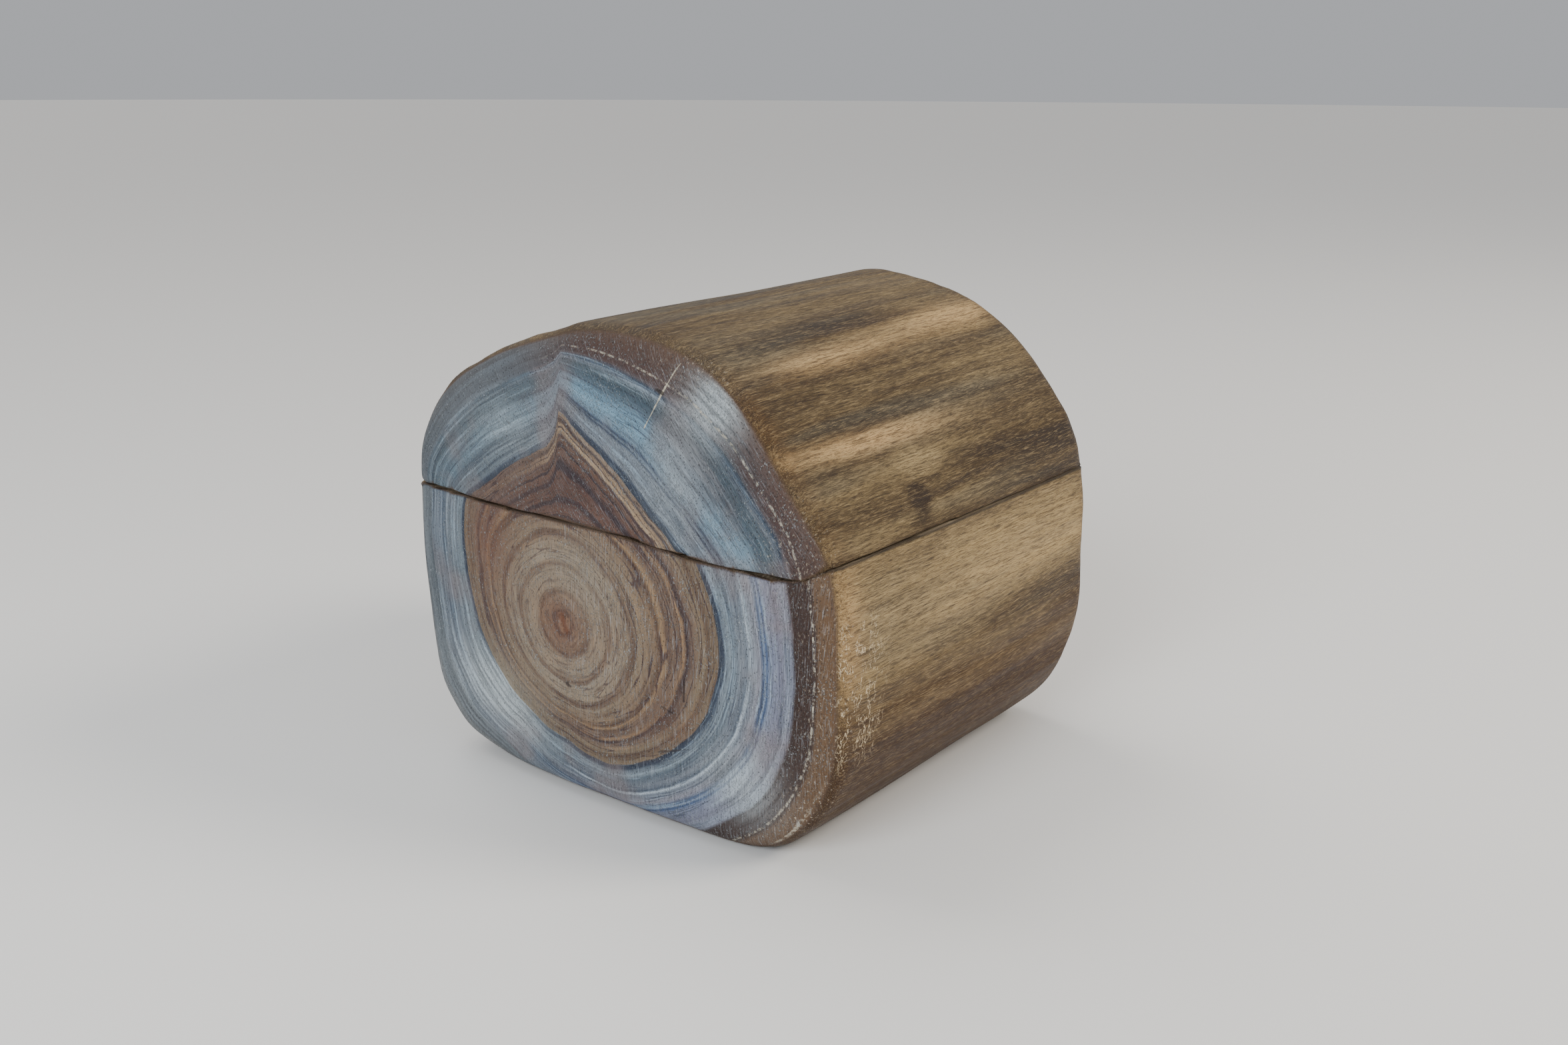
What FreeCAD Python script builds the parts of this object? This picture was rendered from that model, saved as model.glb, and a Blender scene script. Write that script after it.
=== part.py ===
import FreeCAD, Part

import math
import os

import Sketcher
from FreeCAD import Placement, Rotation, Vector

# A puzzle box made from one short length of branch wood. The log is sawn along the grain into a base and a
# lid, hollowed out, hinged at the back and held shut by a hidden pin lock that opens when the box is spun.
#
# Frame: millimetres. X runs along the grain, -X is the end with the growth rings facing the user's left,
# -Y is the front, +Y the hinged back, +Z up. The origin is the middle of the box's footprint, on the table.

DIMENSIONS = [
    # name, value, what it is
    ("log_length", 110.0, "length of the log along the grain, over both domed ends"),
    ("end_dome", 360.0, "radius of the sanded dome on each end"),
    ("end_round", 5.5, "rounding of the rim of each end"),
    ("back_swell", 2.0, "how much fatter the log is at the back, half way along"),
    ("front_swell", 0.55, "how much fatter it is at the front"),
    ("belly", 1.4, "how much lower its underside is half way along, before the foot is planed flat"),
    ("seam_height", 62.0, "height of the saw cut between base and lid, at the back"),
    ("seam_wander", 1.4, "how far the hand-guided saw cut wanders up and down"),
    ("kerf", 0.35, "gap that the saw cut leaves when the lid is shut"),
    ("chamber_length", 78.0, "base chamber along the grain"),
    ("chamber_front", -43.0, "front wall of the base chamber"),
    ("chamber_back", 37.0, "back wall of the base chamber"),
    ("chamber_floor", 14.0, "height of the chamber's floor"),
    ("chamber_corner", 8.0, "radius of the chamber's upright corners"),
    ("hollow_length", 74.0, "hollow in the lid along the grain"),
    ("hollow_front", -26.0, "front wall of the lid's hollow"),
    ("hollow_back", 34.0, "back wall of the lid's hollow"),
    ("hollow_top", 85.0, "height of the lid's ceiling"),
    ("felt_thickness", 1.2, "felt lining"),
    ("felt_gap", 0.3, "felt cut short of the walls"),
    ("hinge_y", 56.9, "hinge axis, front to back"),
    ("hinge_spacing", 46.0, "between the two hinges' middles"),
    ("hinge_width", 20.0, "one hinge along its pin"),
    ("leaf_depth", 13.4, "from the hinge axis to a leaf's front edge"),
    ("leaf_thickness", 1.4, "brass leaf, let in flush"),
    ("barrel_radius", 2.0, "knuckles of a hinge"),
    ("middle_knuckle", 7.6, "length of the lid's knuckle"),
    ("knuckle_gap", 0.2, "side play between knuckles"),
    ("hinge_pin_radius", 0.9, "hinge pin"),
    ("hinge_pin_head", 0.45, "length of each rivet head on a hinge pin"),
    ("hinge_pin_play", 0.05, "radial play of the lid's knuckle on the pin"),
    ("barrel_room", 0.4, "clearance cut in the wood round the knuckles"),
    ("stop_angle", 51.0, "slope of each back bevel: the lid stops at twice this"),
    ("leaf_screw_spread", 11.0, "between the two screws of a leaf"),
    ("leaf_screw_y", 47.6, "screws of a leaf, front to back"),
    ("screw_head", 1.9, "radius of a small screw's head"),
    ("screw_shank", 0.85, "radius of a small screw's shank"),
    ("leaf_screw_length", 9.0, "hinge screws"),
    ("block_thickness", 18.0, "lock block, front to back"),
    ("block_top", 58.0, "top of the lock block"),
    ("bore_y", -34.5, "lock bore, front to back"),
    ("bore_z", 48.0, "lock bore, height"),
    ("bore_radius", 3.0, "lock bore"),
    ("lock_play", 0.06, "radial play of a lock pin in its bore"),
    ("lock_pin_length", 16.0, "lock pin"),
    ("lock_nose", 1.4, "length of the taper on a lock pin's nose"),
    ("plug_gap", 0.3, "between an unlocked pin's back end and its plug"),
    ("plug_recess", 0.8, "bore plugs end this far inside the block"),
    ("pin_rest", 6.6, "from the middle to an unlocked pin's nose"),
    ("slot_half_width", 5.0, "half the width of the slot that the keeper drops into"),
    ("slot_bottom", 38.0, "bottom of that slot"),
    ("tongue_half_width", 4.4, "half the keeper tongue's width"),
    ("tongue_front", -39.5, "front face of the keeper's tongue"),
    ("tongue_back", -29.5, "back face of the keeper's tongue"),
    ("tongue_end", 41.5, "lower end of the keeper's tongue"),
    ("tongue_taper", 1.6, "how far each side of the tongue tapers in at its end"),
    ("tongue_play", 0.4, "gap between the tongue's back and the block"),
    ("keeper_hole", 3.4, "radius of the hole that the lock pins enter"),
    ("magnet_thickness", 2.2, "magnet in the middle of the keeper's hole"),
    ("plate_length", 30.0, "keeper plate along the grain"),
    ("plate_front", -41.5, "front edge of the keeper plate"),
    ("plate_back", -27.5, "back edge of the keeper plate"),
    ("plate_thickness", 2.0, "keeper plate"),
    ("plate_drop", 1.6, "keeper plate below the seam height, because the saw cut dips there"),
    ("keeper_screw_x", 10.5, "keeper screws, from the middle"),
    ("keeper_screw_length", 11.0, "keeper screws"),
    ("block_screw_x", 20.0, "lock block screws, from the middle"),
    ("block_screw_z", 30.0, "lock block screws, height"),
    ("block_screw_length", 27.0, "lock block screws"),
    ("block_screw_head", 3.4, "radius of a lock block screw's head"),
    ("block_screw_shank", 1.6, "radius of a lock block screw's shank"),
]

# Outline of each end, front to back and up: from the crown down the front, under the foot and up the back.
# The front has a long flat slope above the seam and a nearly upright face below it; the back is rounder.
LEFT_OUTLINE = [
    (-1.0, 102.6), (-13.0, 101.9), (-25.2, 98.5), (-32.8, 93.6), (-40.2, 85.3), (-48.0, 74.6),
    (-54.4, 65.6), (-57.0, 57.0), (-57.7, 43.0), (-57.2, 28.0), (-54.5, 16.8), (-48.5, 7.4),
    (-39.3, 1.6), (-25.5, 0.5), (0.0, 1.0), (25.5, 1.0), (39.0, 2.2), (49.0, 5.8),
    (54.8, 14.2), (56.3, 26.2), (56.8, 42.0), (57.0, 58.0), (56.2, 70.6), (50.2, 82.0),
    (38.8, 90.4), (25.0, 96.4), (11.0, 100.6),
]
RIGHT_OUTLINE = [
    (-3.0, 104.0), (-15.2, 102.3), (-26.6, 98.9), (-35.8, 94.0), (-44.0, 87.1), (-51.0, 78.6),
    (-56.0, 68.9), (-58.2, 57.0), (-58.8, 43.0), (-58.5, 28.0), (-55.4, 15.5), (-49.8, 7.2),
    (-40.5, 0.6), (-26.0, -0.9), (0.0, -1.0), (26.0, -0.9), (39.0, 1.4), (48.5, 6.0),
    (54.6, 14.5), (56.9, 27.0), (57.3, 42.0), (56.5, 58.0), (53.6, 70.5), (47.0, 81.5),
    (37.0, 90.2), (24.0, 97.2), (10.0, 101.9),
]

# The saw cut seen from the end: (y, share of seam_wander). It dips near the front and rises at the very edge.
SEAM_POINTS = [(-57.0, 1.05), (-51.5, -0.6), (-42.0, -1.4), (-30.0, -1.1), (-12.0, -0.1),
               (2.0, 0.25), (18.0, 0.15), (34.0, 0.0)]
FRONT_REACH = 75.0  # how far the seam's cutting sheet runs past the log, front and back
BELLY_TOP = 2.0  # outline points under this height belong to the underside
SHEET_DEPTH = 130.0  # and how far it runs up or down
LENS_RADIUS = 95.0  # the domes' own rim, well outside the log
LENS_MIDDLE = 50.0  # height of the middle of each dome

YZ_TURN = Rotation(Vector(1, 1, 1), 120)  # a sketch's x and y become the box's Y and Z
ALONG_X = Rotation(Vector(0, 1, 0), 90)  # a cylinder's own axis comes to lie along +X
ALONG_MINUS_X = Rotation(Vector(0, 1, 0), -90)
HEAD_DOWN = Rotation(Vector(1, 0, 0), 180)
HEAD_BACK = Rotation(Vector(1, 0, 0), -90)
HEAD_UP = Rotation()

doc = FreeCAD.newDocument("log_puzzle_box")
sheet = doc.addObject("Spreadsheet::Sheet", "dims")
finished = []  # the objects that are written, one for each separate piece


def fill_sheet():
    for row, (name, value, meaning) in enumerate(DIMENSIONS, start=1):
        sheet.set(f"A{row}", meaning)
        sheet.set(f"B{row}", str(value))
        sheet.setAlias(f"B{row}", name)
    doc.recompute()


def bind(obj, **sizes):
    """Bind properties to expressions on the sheet; a double underscore stands for a dot."""
    for prop, expression in sizes.items():
        obj.setExpression(prop.replace("__", "."), expression)
    return obj


def at(obj, x="0", y="0", z="0", turn=None):
    if turn is not None:
        obj.Placement = Placement(Vector(), turn)
    return bind(obj, Placement__Base__x=x, Placement__Base__y=y, Placement__Base__z=z)


def piece(obj, label):
    obj.Label = label
    finished.append(obj)
    return obj


def box(name, x, y, z):
    """A block between pairs of expressions (low, high) along each axis."""
    obj = doc.addObject("Part::Box", name)
    bind(obj, Length=f"({x[1]}) - ({x[0]})", Width=f"({y[1]}) - ({y[0]})", Height=f"({z[1]}) - ({z[0]})")
    return at(obj, x[0], y[0], z[0])


def rod(name, radius, length, x="0", y="0", z="0", turn=HEAD_UP):
    obj = doc.addObject("Part::Cylinder", name)
    bind(obj, Radius=radius, Height=length)
    return at(obj, x, y, z, turn)


def fuse(name, shapes):
    obj = doc.addObject("Part::MultiFuse", name)
    obj.Shapes = shapes
    return obj


def cut(name, base, tools, refine=True):
    """What is left of base. Refining joins split flat faces; the log's curved skin is left as it is."""
    obj = doc.addObject("Part::Cut", name)
    obj.Refine = refine
    obj.Base = base
    obj.Tool = tools[0] if len(tools) == 1 else fuse(f"{name}_tools", tools)
    return obj


def group(name, shapes):
    obj = doc.addObject("Part::Compound", name)
    obj.Links = shapes
    return obj


def rounded_block(name, x, y, z, corner):
    """A PartDesign pad on a rectangle with rounded corners, between pairs of expressions."""
    body = doc.addObject("PartDesign::Body", name)
    sketch = body.newObject("Sketcher::SketchObject", f"{name}_outline")
    plane = [f for f in body.Origin.OriginFeatures if f.Role == "XY_Plane"][0]
    sketch.AttachmentSupport = (plane, [""])
    sketch.MapMode = "FlatFace"
    bind(sketch, AttachmentOffset__Base__z=z[0])
    side, r = 20.0, 4.0  # where the sketch starts from, before its constraints pull it to size
    corners = [(1, 1), (-1, 1), (-1, -1), (1, -1)]
    for i, (sx, sy) in enumerate(corners):
        centre = Vector(sx * (side - r), sy * (side - r), 0)
        start = math.radians(90 * i)
        circle = Part.Circle(centre, Vector(0, 0, 1), r)
        sketch.addGeometry(Part.ArcOfCircle(circle, start, start + math.pi / 2), False)
    for i in range(4):
        end = sketch.Geometry[i].EndPoint
        start = sketch.Geometry[(i + 1) % 4].StartPoint
        sketch.addGeometry(Part.LineSegment(end, start), False)
    for i in range(4):
        line, after = 4 + i, (i + 1) % 4
        sketch.addConstraint(Sketcher.Constraint("Tangent", i, 2, line, 1))
        sketch.addConstraint(Sketcher.Constraint("Tangent", line, 2, after, 1))
        sketch.addConstraint(Sketcher.Constraint("Horizontal" if i % 2 == 0 else "Vertical", line))
    for i in range(1, 4):
        sketch.addConstraint(Sketcher.Constraint("Equal", 0, i))
    radius = sketch.addConstraint(Sketcher.Constraint("Radius", 0, r))
    sketch.setExpression(f"Constraints[{radius}]", corner)
    # Sides in the order back, left, front, right: each is held at its distance from the origin.
    for line, kind, expression in ((4, "DistanceY", y[1]), (5, "DistanceX", x[0]),
                                   (6, "DistanceY", y[0]), (7, "DistanceX", x[1])):
        point = sketch.Geometry[line].StartPoint
        value = point.y if kind == "DistanceY" else point.x
        held = sketch.addConstraint(Sketcher.Constraint(kind, -1, 1, line, 1, value))
        sketch.setExpression(f"Constraints[{held}]", expression)
    pad = body.newObject("PartDesign::Pad", f"{name}_pad")
    pad.Profile = sketch
    bind(pad, Length=f"({z[1]}) - ({z[0]})")
    return body


def middle_outline():
    """Half way between the two ends, swollen at the back, a little at the front, and underneath."""
    back = sheet.get("back_swell")
    front = sheet.get("front_swell")
    belly = sheet.get("belly")
    reach = max(y for y, _ in LEFT_OUTLINE)
    points = []
    for (y0, z0), (y1, z1) in zip(LEFT_OUTLINE, RIGHT_OUTLINE):
        y = (y0 + y1) / 2
        swell = (back if y > 0 else -front) * (abs(y) / reach) ** 6
        z = (z0 + z1) / 2
        points.append((y + swell, z - (belly if z < BELLY_TOP else 0)))
    return points


def outline_sketch(name, points, x):
    """A closed smooth curve through the points, standing across the log at x."""
    sketch = doc.addObject("Sketcher::SketchObject", name)
    sketch.Placement = Placement(Vector(), YZ_TURN)
    bind(sketch, Placement__Base__x=x)
    spans = middle_outline()
    knots = [0.0]
    for here, there in zip(spans, spans[1:] + spans[:1]):
        knots.append(knots[-1] + math.dist(here, there))
    curve = Part.BSplineCurve()
    curve.interpolate(Points=[Vector(y, z, 0) for y, z in points], PeriodicFlag=True, Parameters=knots)
    sketch.addGeometry(curve, False)
    return sketch


def end_lens():
    """A lens whose two faces are the sanded domes on the log's ends."""
    half, dome = sheet.get("log_length") / 2, sheet.get("end_dome")
    slope = math.asin(LENS_RADIUS / dome)

    def on_dome(side, angle):
        return Vector(side * (half - dome + dome * math.cos(angle)), dome * math.sin(angle), 0)

    sketch = doc.addObject("Sketcher::SketchObject", "lens_outline")
    sketch.Placement = Placement(Vector(0, 0, LENS_MIDDLE), Rotation(Vector(1, 0, 0), 90))
    for side in (-1, 1):
        arc = Part.Arc(on_dome(side, 0), on_dome(side, slope / 2), on_dome(side, slope))
        sketch.addGeometry(arc, False)
    for angle in (0, slope):
        sketch.addGeometry(Part.LineSegment(on_dome(-1, angle), on_dome(1, angle)), False)
    lens = doc.addObject("Part::Revolution", "end_lens")
    lens.Source = sketch
    lens.Axis = Vector(1, 0, 0)
    lens.Base = Vector(0, 0, LENS_MIDDLE)
    lens.Angle = 360
    lens.Solid = True
    return lens


def make_log():
    """The whole log before it is sawn: lofted outlines, domed ends with a rounded rim, a flat foot."""
    loft = doc.addObject("Part::Loft", "log_loft")
    loft.Sections = [
        outline_sketch("outline_left", LEFT_OUTLINE, "-dims.log_length / 2 - 1"),
        outline_sketch("outline_middle", middle_outline(), "0"),
        outline_sketch("outline_right", RIGHT_OUTLINE, "dims.log_length / 2 + 1"),
    ]
    loft.Solid = True
    log = doc.addObject("Part::MultiCommon", "log_domed")
    log.Refine = False
    log.Shapes = [loft, end_lens()]
    doc.recompute()
    rounded = doc.addObject("Part::Fillet", "log_rounded")
    rounded.Base = log
    radius = sheet.get("end_round")
    rounded.Edges = [(i, radius, radius) for i, e in enumerate(log.Shape.Edges, start=1)
                     if min(abs(e.BoundBox.XMin), abs(e.BoundBox.XMax)) > 0.4 * sheet.get("log_length")]
    foot = box("below_table", ("-80", "80"), ("-80", "80"), ("-20", "0"))
    return cut("log_blank", rounded, [foot], refine=False)


def seam_sheet(name, side, z):
    """A thick sheet along the whole saw cut: side 1 fills the space above it, -1 the space below."""
    wander = sheet.get("seam_wander")
    wave = Part.BSplineCurve()
    points = [Vector(y, share * wander, 0) for y, share in SEAM_POINTS]
    wave.interpolate(Points=points, InitialTangent=Vector(1, 0, 0), FinalTangent=Vector(1, 0, 0))
    front, back = Vector(-FRONT_REACH, points[0].y, 0), Vector(FRONT_REACH, 0, 0)
    far = Vector(0, side * SHEET_DEPTH, 0)
    sketch = doc.addObject("Sketcher::SketchObject", f"{name}_outline")
    sketch.Placement = Placement(Vector(), YZ_TURN)
    bind(sketch, Placement__Base__x="-dims.log_length", Placement__Base__z=z)
    sketch.addGeometry(wave, False)
    corners = [points[-1], back, back + far, front + far, front, points[0]]
    for here, there in zip(corners, corners[1:]):
        sketch.addGeometry(Part.LineSegment(here, there), False)
    solid = doc.addObject("Part::Extrusion", name)
    solid.Base = sketch
    solid.DirMode = "Custom"
    solid.Dir = Vector(1, 0, 0)
    solid.Solid = True
    bind(solid, LengthFwd="2 * dims.log_length")
    return solid


def back_bevel(name, side):
    """The wood that stands behind the hinge axis, cut back so that the open lid stops on its own back."""
    sketch = doc.addObject("Sketcher::SketchObject", f"{name}_outline")
    sketch.Placement = Placement(Vector(), YZ_TURN)
    bind(sketch, Placement__Base__x="-dims.log_length", Placement__Base__y="dims.hinge_y",
         Placement__Base__z="dims.seam_height + dims.kerf / 2")
    slope = math.tan(math.radians(sheet.get("stop_angle")))
    reach, over = 6.0, 20.0
    corners = [Vector(0, 0, 0), Vector(reach, -side * reach * slope, 0),
               Vector(reach, side * over, 0), Vector(0, side * over, 0)]
    for here, there in zip(corners, corners[1:] + corners[:1]):
        sketch.addGeometry(Part.LineSegment(here, there), False)
    solid = doc.addObject("Part::Extrusion", name)
    solid.Base = sketch
    solid.DirMode = "Custom"
    solid.Dir = Vector(1, 0, 0)
    solid.Solid = True
    bind(solid, LengthFwd="2 * dims.log_length")
    return solid


def screw(name, head, shank, length, x, y, z, turn):
    """A slotted countersunk wood screw; as drawn its head faces up, at the given point."""
    head_depth = f"({head} - {shank})"
    tip = f"(2.5 * {shank})"
    cone = doc.addObject("Part::Cone", f"{name}_head")
    bind(cone, Radius1=shank, Radius2=head, Height=head_depth)
    at(cone, z=f"-{head_depth}")
    body = rod(f"{name}_shank", shank, f"{length} - {head_depth} - {tip}", z=f"-({length} - {tip})")
    point = doc.addObject("Part::Cone", f"{name}_point")
    bind(point, Radius1=f"{shank} / 5", Radius2=shank, Height=tip)
    at(point, z=f"-({length})")
    slot = box(f"{name}_slot", (f"-{head}", head), (f"-{head} / 7", f"{head} / 7"), (f"-{head_depth} / 2", "1"))
    whole = fuse(f"{name}_whole", [cone, body, point])
    return at(cut(name, whole, [slot]), x, y, z, turn)


def filler(name, head, shank, length, x, y, z, turn):
    """The hole that a screw makes: the screw's shape with its slot filled."""
    head_depth = f"({head} - {shank})"
    cone = doc.addObject("Part::Cone", f"{name}_sink")
    bind(cone, Radius1=shank, Radius2=head, Height=head_depth)
    at(cone, z=f"-{head_depth}")
    body = rod(f"{name}_hole", shank, f"{length} - {head_depth}", z=f"-({length})")
    return at(fuse(name, [cone, body]), x, y, z, turn)


def hinge_screw_places(which):
    """Name, x, y, z and turn of every hinge screw of the base or the lid."""
    base = which == "base"
    z = "dims.seam_height" if base else "dims.seam_height + dims.kerf"
    turn = HEAD_UP if base else HEAD_DOWN
    places = []
    for side, sign in (("left", -1), ("right", 1)):
        for number, offset in enumerate((-1, 1), start=1):
            x = f"{sign} * dims.hinge_spacing / 2 + {offset} * dims.leaf_screw_spread / 2"
            places.append((f"{which}_{side}_{number}", x, "dims.leaf_screw_y", z, turn))
    return places


def small_screws(kind, places, length):
    """Screws and their holes, for each place."""
    sizes = ("dims.screw_head", "dims.screw_shank", length)
    screws = [screw(f"{kind}_{name}", *sizes, x, y, z, turn) for name, x, y, z, turn in places]
    holes = [filler(f"{kind}_hole_{name}", *sizes, x, y, z, turn) for name, x, y, z, turn in places]
    return screws, holes


def hinge_leaf(which, side, sign, holes):
    """One brass leaf: the base leaf has the two outer knuckles, the lid leaf the middle one."""
    name = f"hinge_leaf_{which}_{side}"
    middle = f"({sign} * dims.hinge_spacing / 2)"
    axis_z = "dims.seam_height + dims.kerf / 2"
    if which == "base":
        z = ("dims.seam_height - dims.leaf_thickness", "dims.seam_height")
        inner = "(dims.middle_knuckle / 2 + dims.knuckle_gap)"
        spans = [(f"{middle} - dims.hinge_width / 2", f"{middle} - {inner}"),
                 (f"{middle} + {inner}", f"{middle} + dims.hinge_width / 2")]
        pin_hole = "dims.hinge_pin_radius"
    else:
        z = ("dims.seam_height + dims.kerf", "dims.seam_height + dims.kerf + dims.leaf_thickness")
        spans = [(f"{middle} - dims.middle_knuckle / 2", f"{middle} + dims.middle_knuckle / 2")]
        pin_hole = "dims.hinge_pin_radius + dims.hinge_pin_play"
    edge = "dims.hinge_y - dims.barrel_radius - dims.barrel_room"
    parts = [box(f"{name}_plate", (f"{middle} - dims.hinge_width / 2", f"{middle} + dims.hinge_width / 2"),
                 ("dims.hinge_y - dims.leaf_depth", edge), z)]
    for number, (low, high) in enumerate(spans, start=1):
        parts.append(box(f"{name}_tab_{number}", (low, high), (edge, "dims.hinge_y"), z))
        parts.append(rod(f"{name}_knuckle_{number}", "dims.barrel_radius", f"({high}) - ({low})",
                         low, "dims.hinge_y", axis_z, ALONG_X))
    bore = rod(f"{name}_bore", pin_hole, "dims.hinge_width + 2", f"{middle} - dims.hinge_width / 2 - 1",
               "dims.hinge_y", axis_z, ALONG_X)
    return piece(cut(name, fuse(f"{name}_solid", parts), [bore, *holes]), name)


def hinge_pin(side, sign):
    """A steel pin with a domed rivet head at each end."""
    name = f"hinge_pin_{side}"
    middle = f"({sign} * dims.hinge_spacing / 2)"
    axis_z = "dims.seam_height + dims.kerf / 2"
    shaft = rod(f"{name}_shaft", "dims.hinge_pin_radius", "dims.hinge_width",
                f"{middle} - dims.hinge_width / 2", "dims.hinge_y", axis_z, ALONG_X)
    heads = []
    for end, turn in ((-1, ALONG_MINUS_X), (1, ALONG_X)):
        cone = doc.addObject("Part::Cone", f"{name}_head_{'left' if end < 0 else 'right'}")
        bind(cone, Radius1="dims.hinge_pin_radius * 1.5", Radius2="dims.hinge_pin_radius * 0.9",
             Height="dims.hinge_pin_head")
        at(cone, f"{middle} + {end} * dims.hinge_width / 2", "dims.hinge_y", axis_z, turn)
        heads.append(cone)
    return piece(fuse(name, [shaft, *heads]), name)


def hinge_room(which, side, sign):
    """What the wood loses for one hinge: a shallow bed for the leaf and a groove for the knuckles."""
    middle = f"({sign} * dims.hinge_spacing / 2)"
    name = f"{which}_{side}"
    x = (f"{middle} - dims.hinge_width / 2", f"{middle} + dims.hinge_width / 2")
    y = ("dims.hinge_y - dims.leaf_depth", "dims.hinge_y")
    if which == "base":
        z = ("dims.seam_height - dims.leaf_thickness", "dims.seam_height + 5")
    else:
        z = ("dims.seam_height - 5", "dims.seam_height + dims.kerf + dims.leaf_thickness")
    groove = rod(f"{name}_groove", "dims.barrel_radius + dims.barrel_room",
                 "dims.hinge_width + 4 * dims.barrel_room",
                 f"{middle} - dims.hinge_width / 2 - 2 * dims.barrel_room", "dims.hinge_y",
                 "dims.seam_height + dims.kerf / 2", ALONG_X)
    return [box(f"{name}_bed", x, y, z), groove]


def make_hinges():
    """Both hinges, their pins and screws. Returns what the wood of each half loses."""
    room = {}
    for which in ("base", "lid"):
        screws, holes = small_screws("hinge_screw", hinge_screw_places(which), "dims.leaf_screw_length")
        for side, sign, near_holes in (("left", -1, holes[:2]), ("right", 1, holes[2:])):
            hinge_leaf(which, side, sign, near_holes)
        piece(group(f"hinge_screws_{which}", screws), f"hinge_screws_{which}")
        beds = hinge_room(which, "left", -1) + hinge_room(which, "right", 1)
        room[which] = beds + holes
    for side, sign in (("left", -1), ("right", 1)):
        hinge_pin(side, sign)
    return room


def make_lock_block():
    """The wooden block at the chamber's front that holds the two lock pins. Returns its screws' holes."""
    blank = rounded_block("lock_block_blank", ("-dims.chamber_length / 2", "dims.chamber_length / 2"),
                          ("dims.chamber_front", "dims.chamber_front + dims.block_thickness + 12"),
                          ("dims.chamber_floor", "dims.block_top"), "dims.chamber_corner")
    behind = box("behind_block", ("-60", "60"), ("dims.chamber_front + dims.block_thickness", "20"), ("0", "90"))
    slot = box("keeper_slot", ("-dims.slot_half_width", "dims.slot_half_width"),
               ("dims.chamber_front - 1", "dims.tongue_back + dims.tongue_play"), ("dims.slot_bottom", "90"))
    bore = rod("lock_bore", "dims.bore_radius", "dims.chamber_length + 2", "-dims.chamber_length / 2 - 1",
               "dims.bore_y", "dims.bore_z", ALONG_X)
    screws, holes = [], []
    sizes = ("dims.block_screw_head", "dims.block_screw_shank", "dims.block_screw_length")
    for side, sign in (("left", -1), ("right", 1)):
        place = (f"{sign} * dims.block_screw_x", "dims.chamber_front + dims.block_thickness",
                 "dims.block_screw_z", HEAD_BACK)
        screws.append(screw(f"block_screw_{side}", *sizes, *place))
        holes.append(filler(f"block_screw_hole_{side}", *sizes, *place))
    piece(cut("lock_block", blank, [behind, slot, bore, *holes]), "lock_block")
    piece(group("lock_block_screws", screws), "lock_block_screws")
    return holes


def make_lock_pins():
    """Two steel pins with tapered noses, and the dowels that close the bore behind them."""
    radius = "(dims.bore_radius - dims.lock_play)"
    for side, sign, nose_turn in (("left", -1, ALONG_X), ("right", 1, ALONG_MINUS_X)):
        name = f"lock_pin_{side}"
        back_end = f"{sign} * (dims.pin_rest + dims.lock_pin_length)"
        straight = "dims.lock_pin_length - dims.lock_nose"
        shaft = rod(f"{name}_shaft", radius, straight, back_end, "dims.bore_y", "dims.bore_z", nose_turn)
        nose = doc.addObject("Part::Cone", f"{name}_nose")
        bind(nose, Radius1=radius, Radius2=f"{radius} * 0.6", Height="dims.lock_nose")
        at(nose, f"{sign} * (dims.pin_rest + dims.lock_nose)", "dims.bore_y", "dims.bore_z", nose_turn)
        piece(fuse(name, [shaft, nose]), name)
        plug_inner = "(dims.pin_rest + dims.lock_pin_length + dims.plug_gap)"
        plug_outer = "(dims.chamber_length / 2 - dims.plug_recess)"
        plug = rod(f"bore_plug_{side}", "dims.bore_radius", f"{plug_outer} - {plug_inner}",
                   f"{sign} * {plug_outer}", "dims.bore_y", "dims.bore_z", nose_turn)
        piece(plug, f"bore_plug_{side}")


def make_keeper():
    """The brass keeper under the lid, its magnet and screws. Returns what the lid's wood loses."""
    low = "(dims.seam_height - dims.plate_drop)"
    x = ("-dims.plate_length / 2", "dims.plate_length / 2")
    y = ("dims.plate_front", "dims.plate_back")
    plate = rounded_block("keeper_plate", x, y, (low, f"{low} + dims.plate_thickness"), "2")
    tongue = box("keeper_tongue", ("-dims.tongue_half_width", "dims.tongue_half_width"),
                 ("dims.tongue_front", "dims.tongue_back"), ("dims.tongue_end", f"{low} + 1"))
    hole = rod("keeper_pin_hole", "dims.keeper_hole", "4 * dims.tongue_half_width",
               "-2 * dims.tongue_half_width", "dims.bore_y", "dims.bore_z", ALONG_X)
    tapers = []
    for side, sign in (("left", -1), ("right", 1)):
        taper = box(f"tongue_taper_{side}", ("-4", "4"), ("-50", "-20"), ("-4", "4"))
        taper.Placement = Placement(Vector(), Rotation(Vector(0, 1, 0), 45))
        reach = "4 * sqrt(2)"
        at(taper, f"{sign} * (dims.tongue_half_width + {reach} - dims.tongue_taper) - {reach}", "-50", "dims.tongue_end")
        tapers.append(taper)
    places = [(side, f"{sign} * dims.keeper_screw_x", "dims.bore_y", low, HEAD_DOWN)
              for side, sign in (("left", -1), ("right", 1))]
    screws, holes = small_screws("keeper_screw", places, "dims.keeper_screw_length")
    solid = fuse("keeper_solid", [plate, tongue])
    piece(cut("keeper", solid, [hole, *tapers, *holes]), "keeper")
    magnet = rod("keeper_magnet", "dims.keeper_hole", "dims.magnet_thickness", "-dims.magnet_thickness / 2",
                 "dims.bore_y", "dims.bore_z", ALONG_X)
    piece(magnet, "keeper_magnet")
    piece(group("keeper_screws", screws), "keeper_screws")
    bed = rounded_block("keeper_bed", x, y, ("dims.seam_height - 6", f"{low} + dims.plate_thickness"), "2")
    return [bed, *holes]


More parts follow.
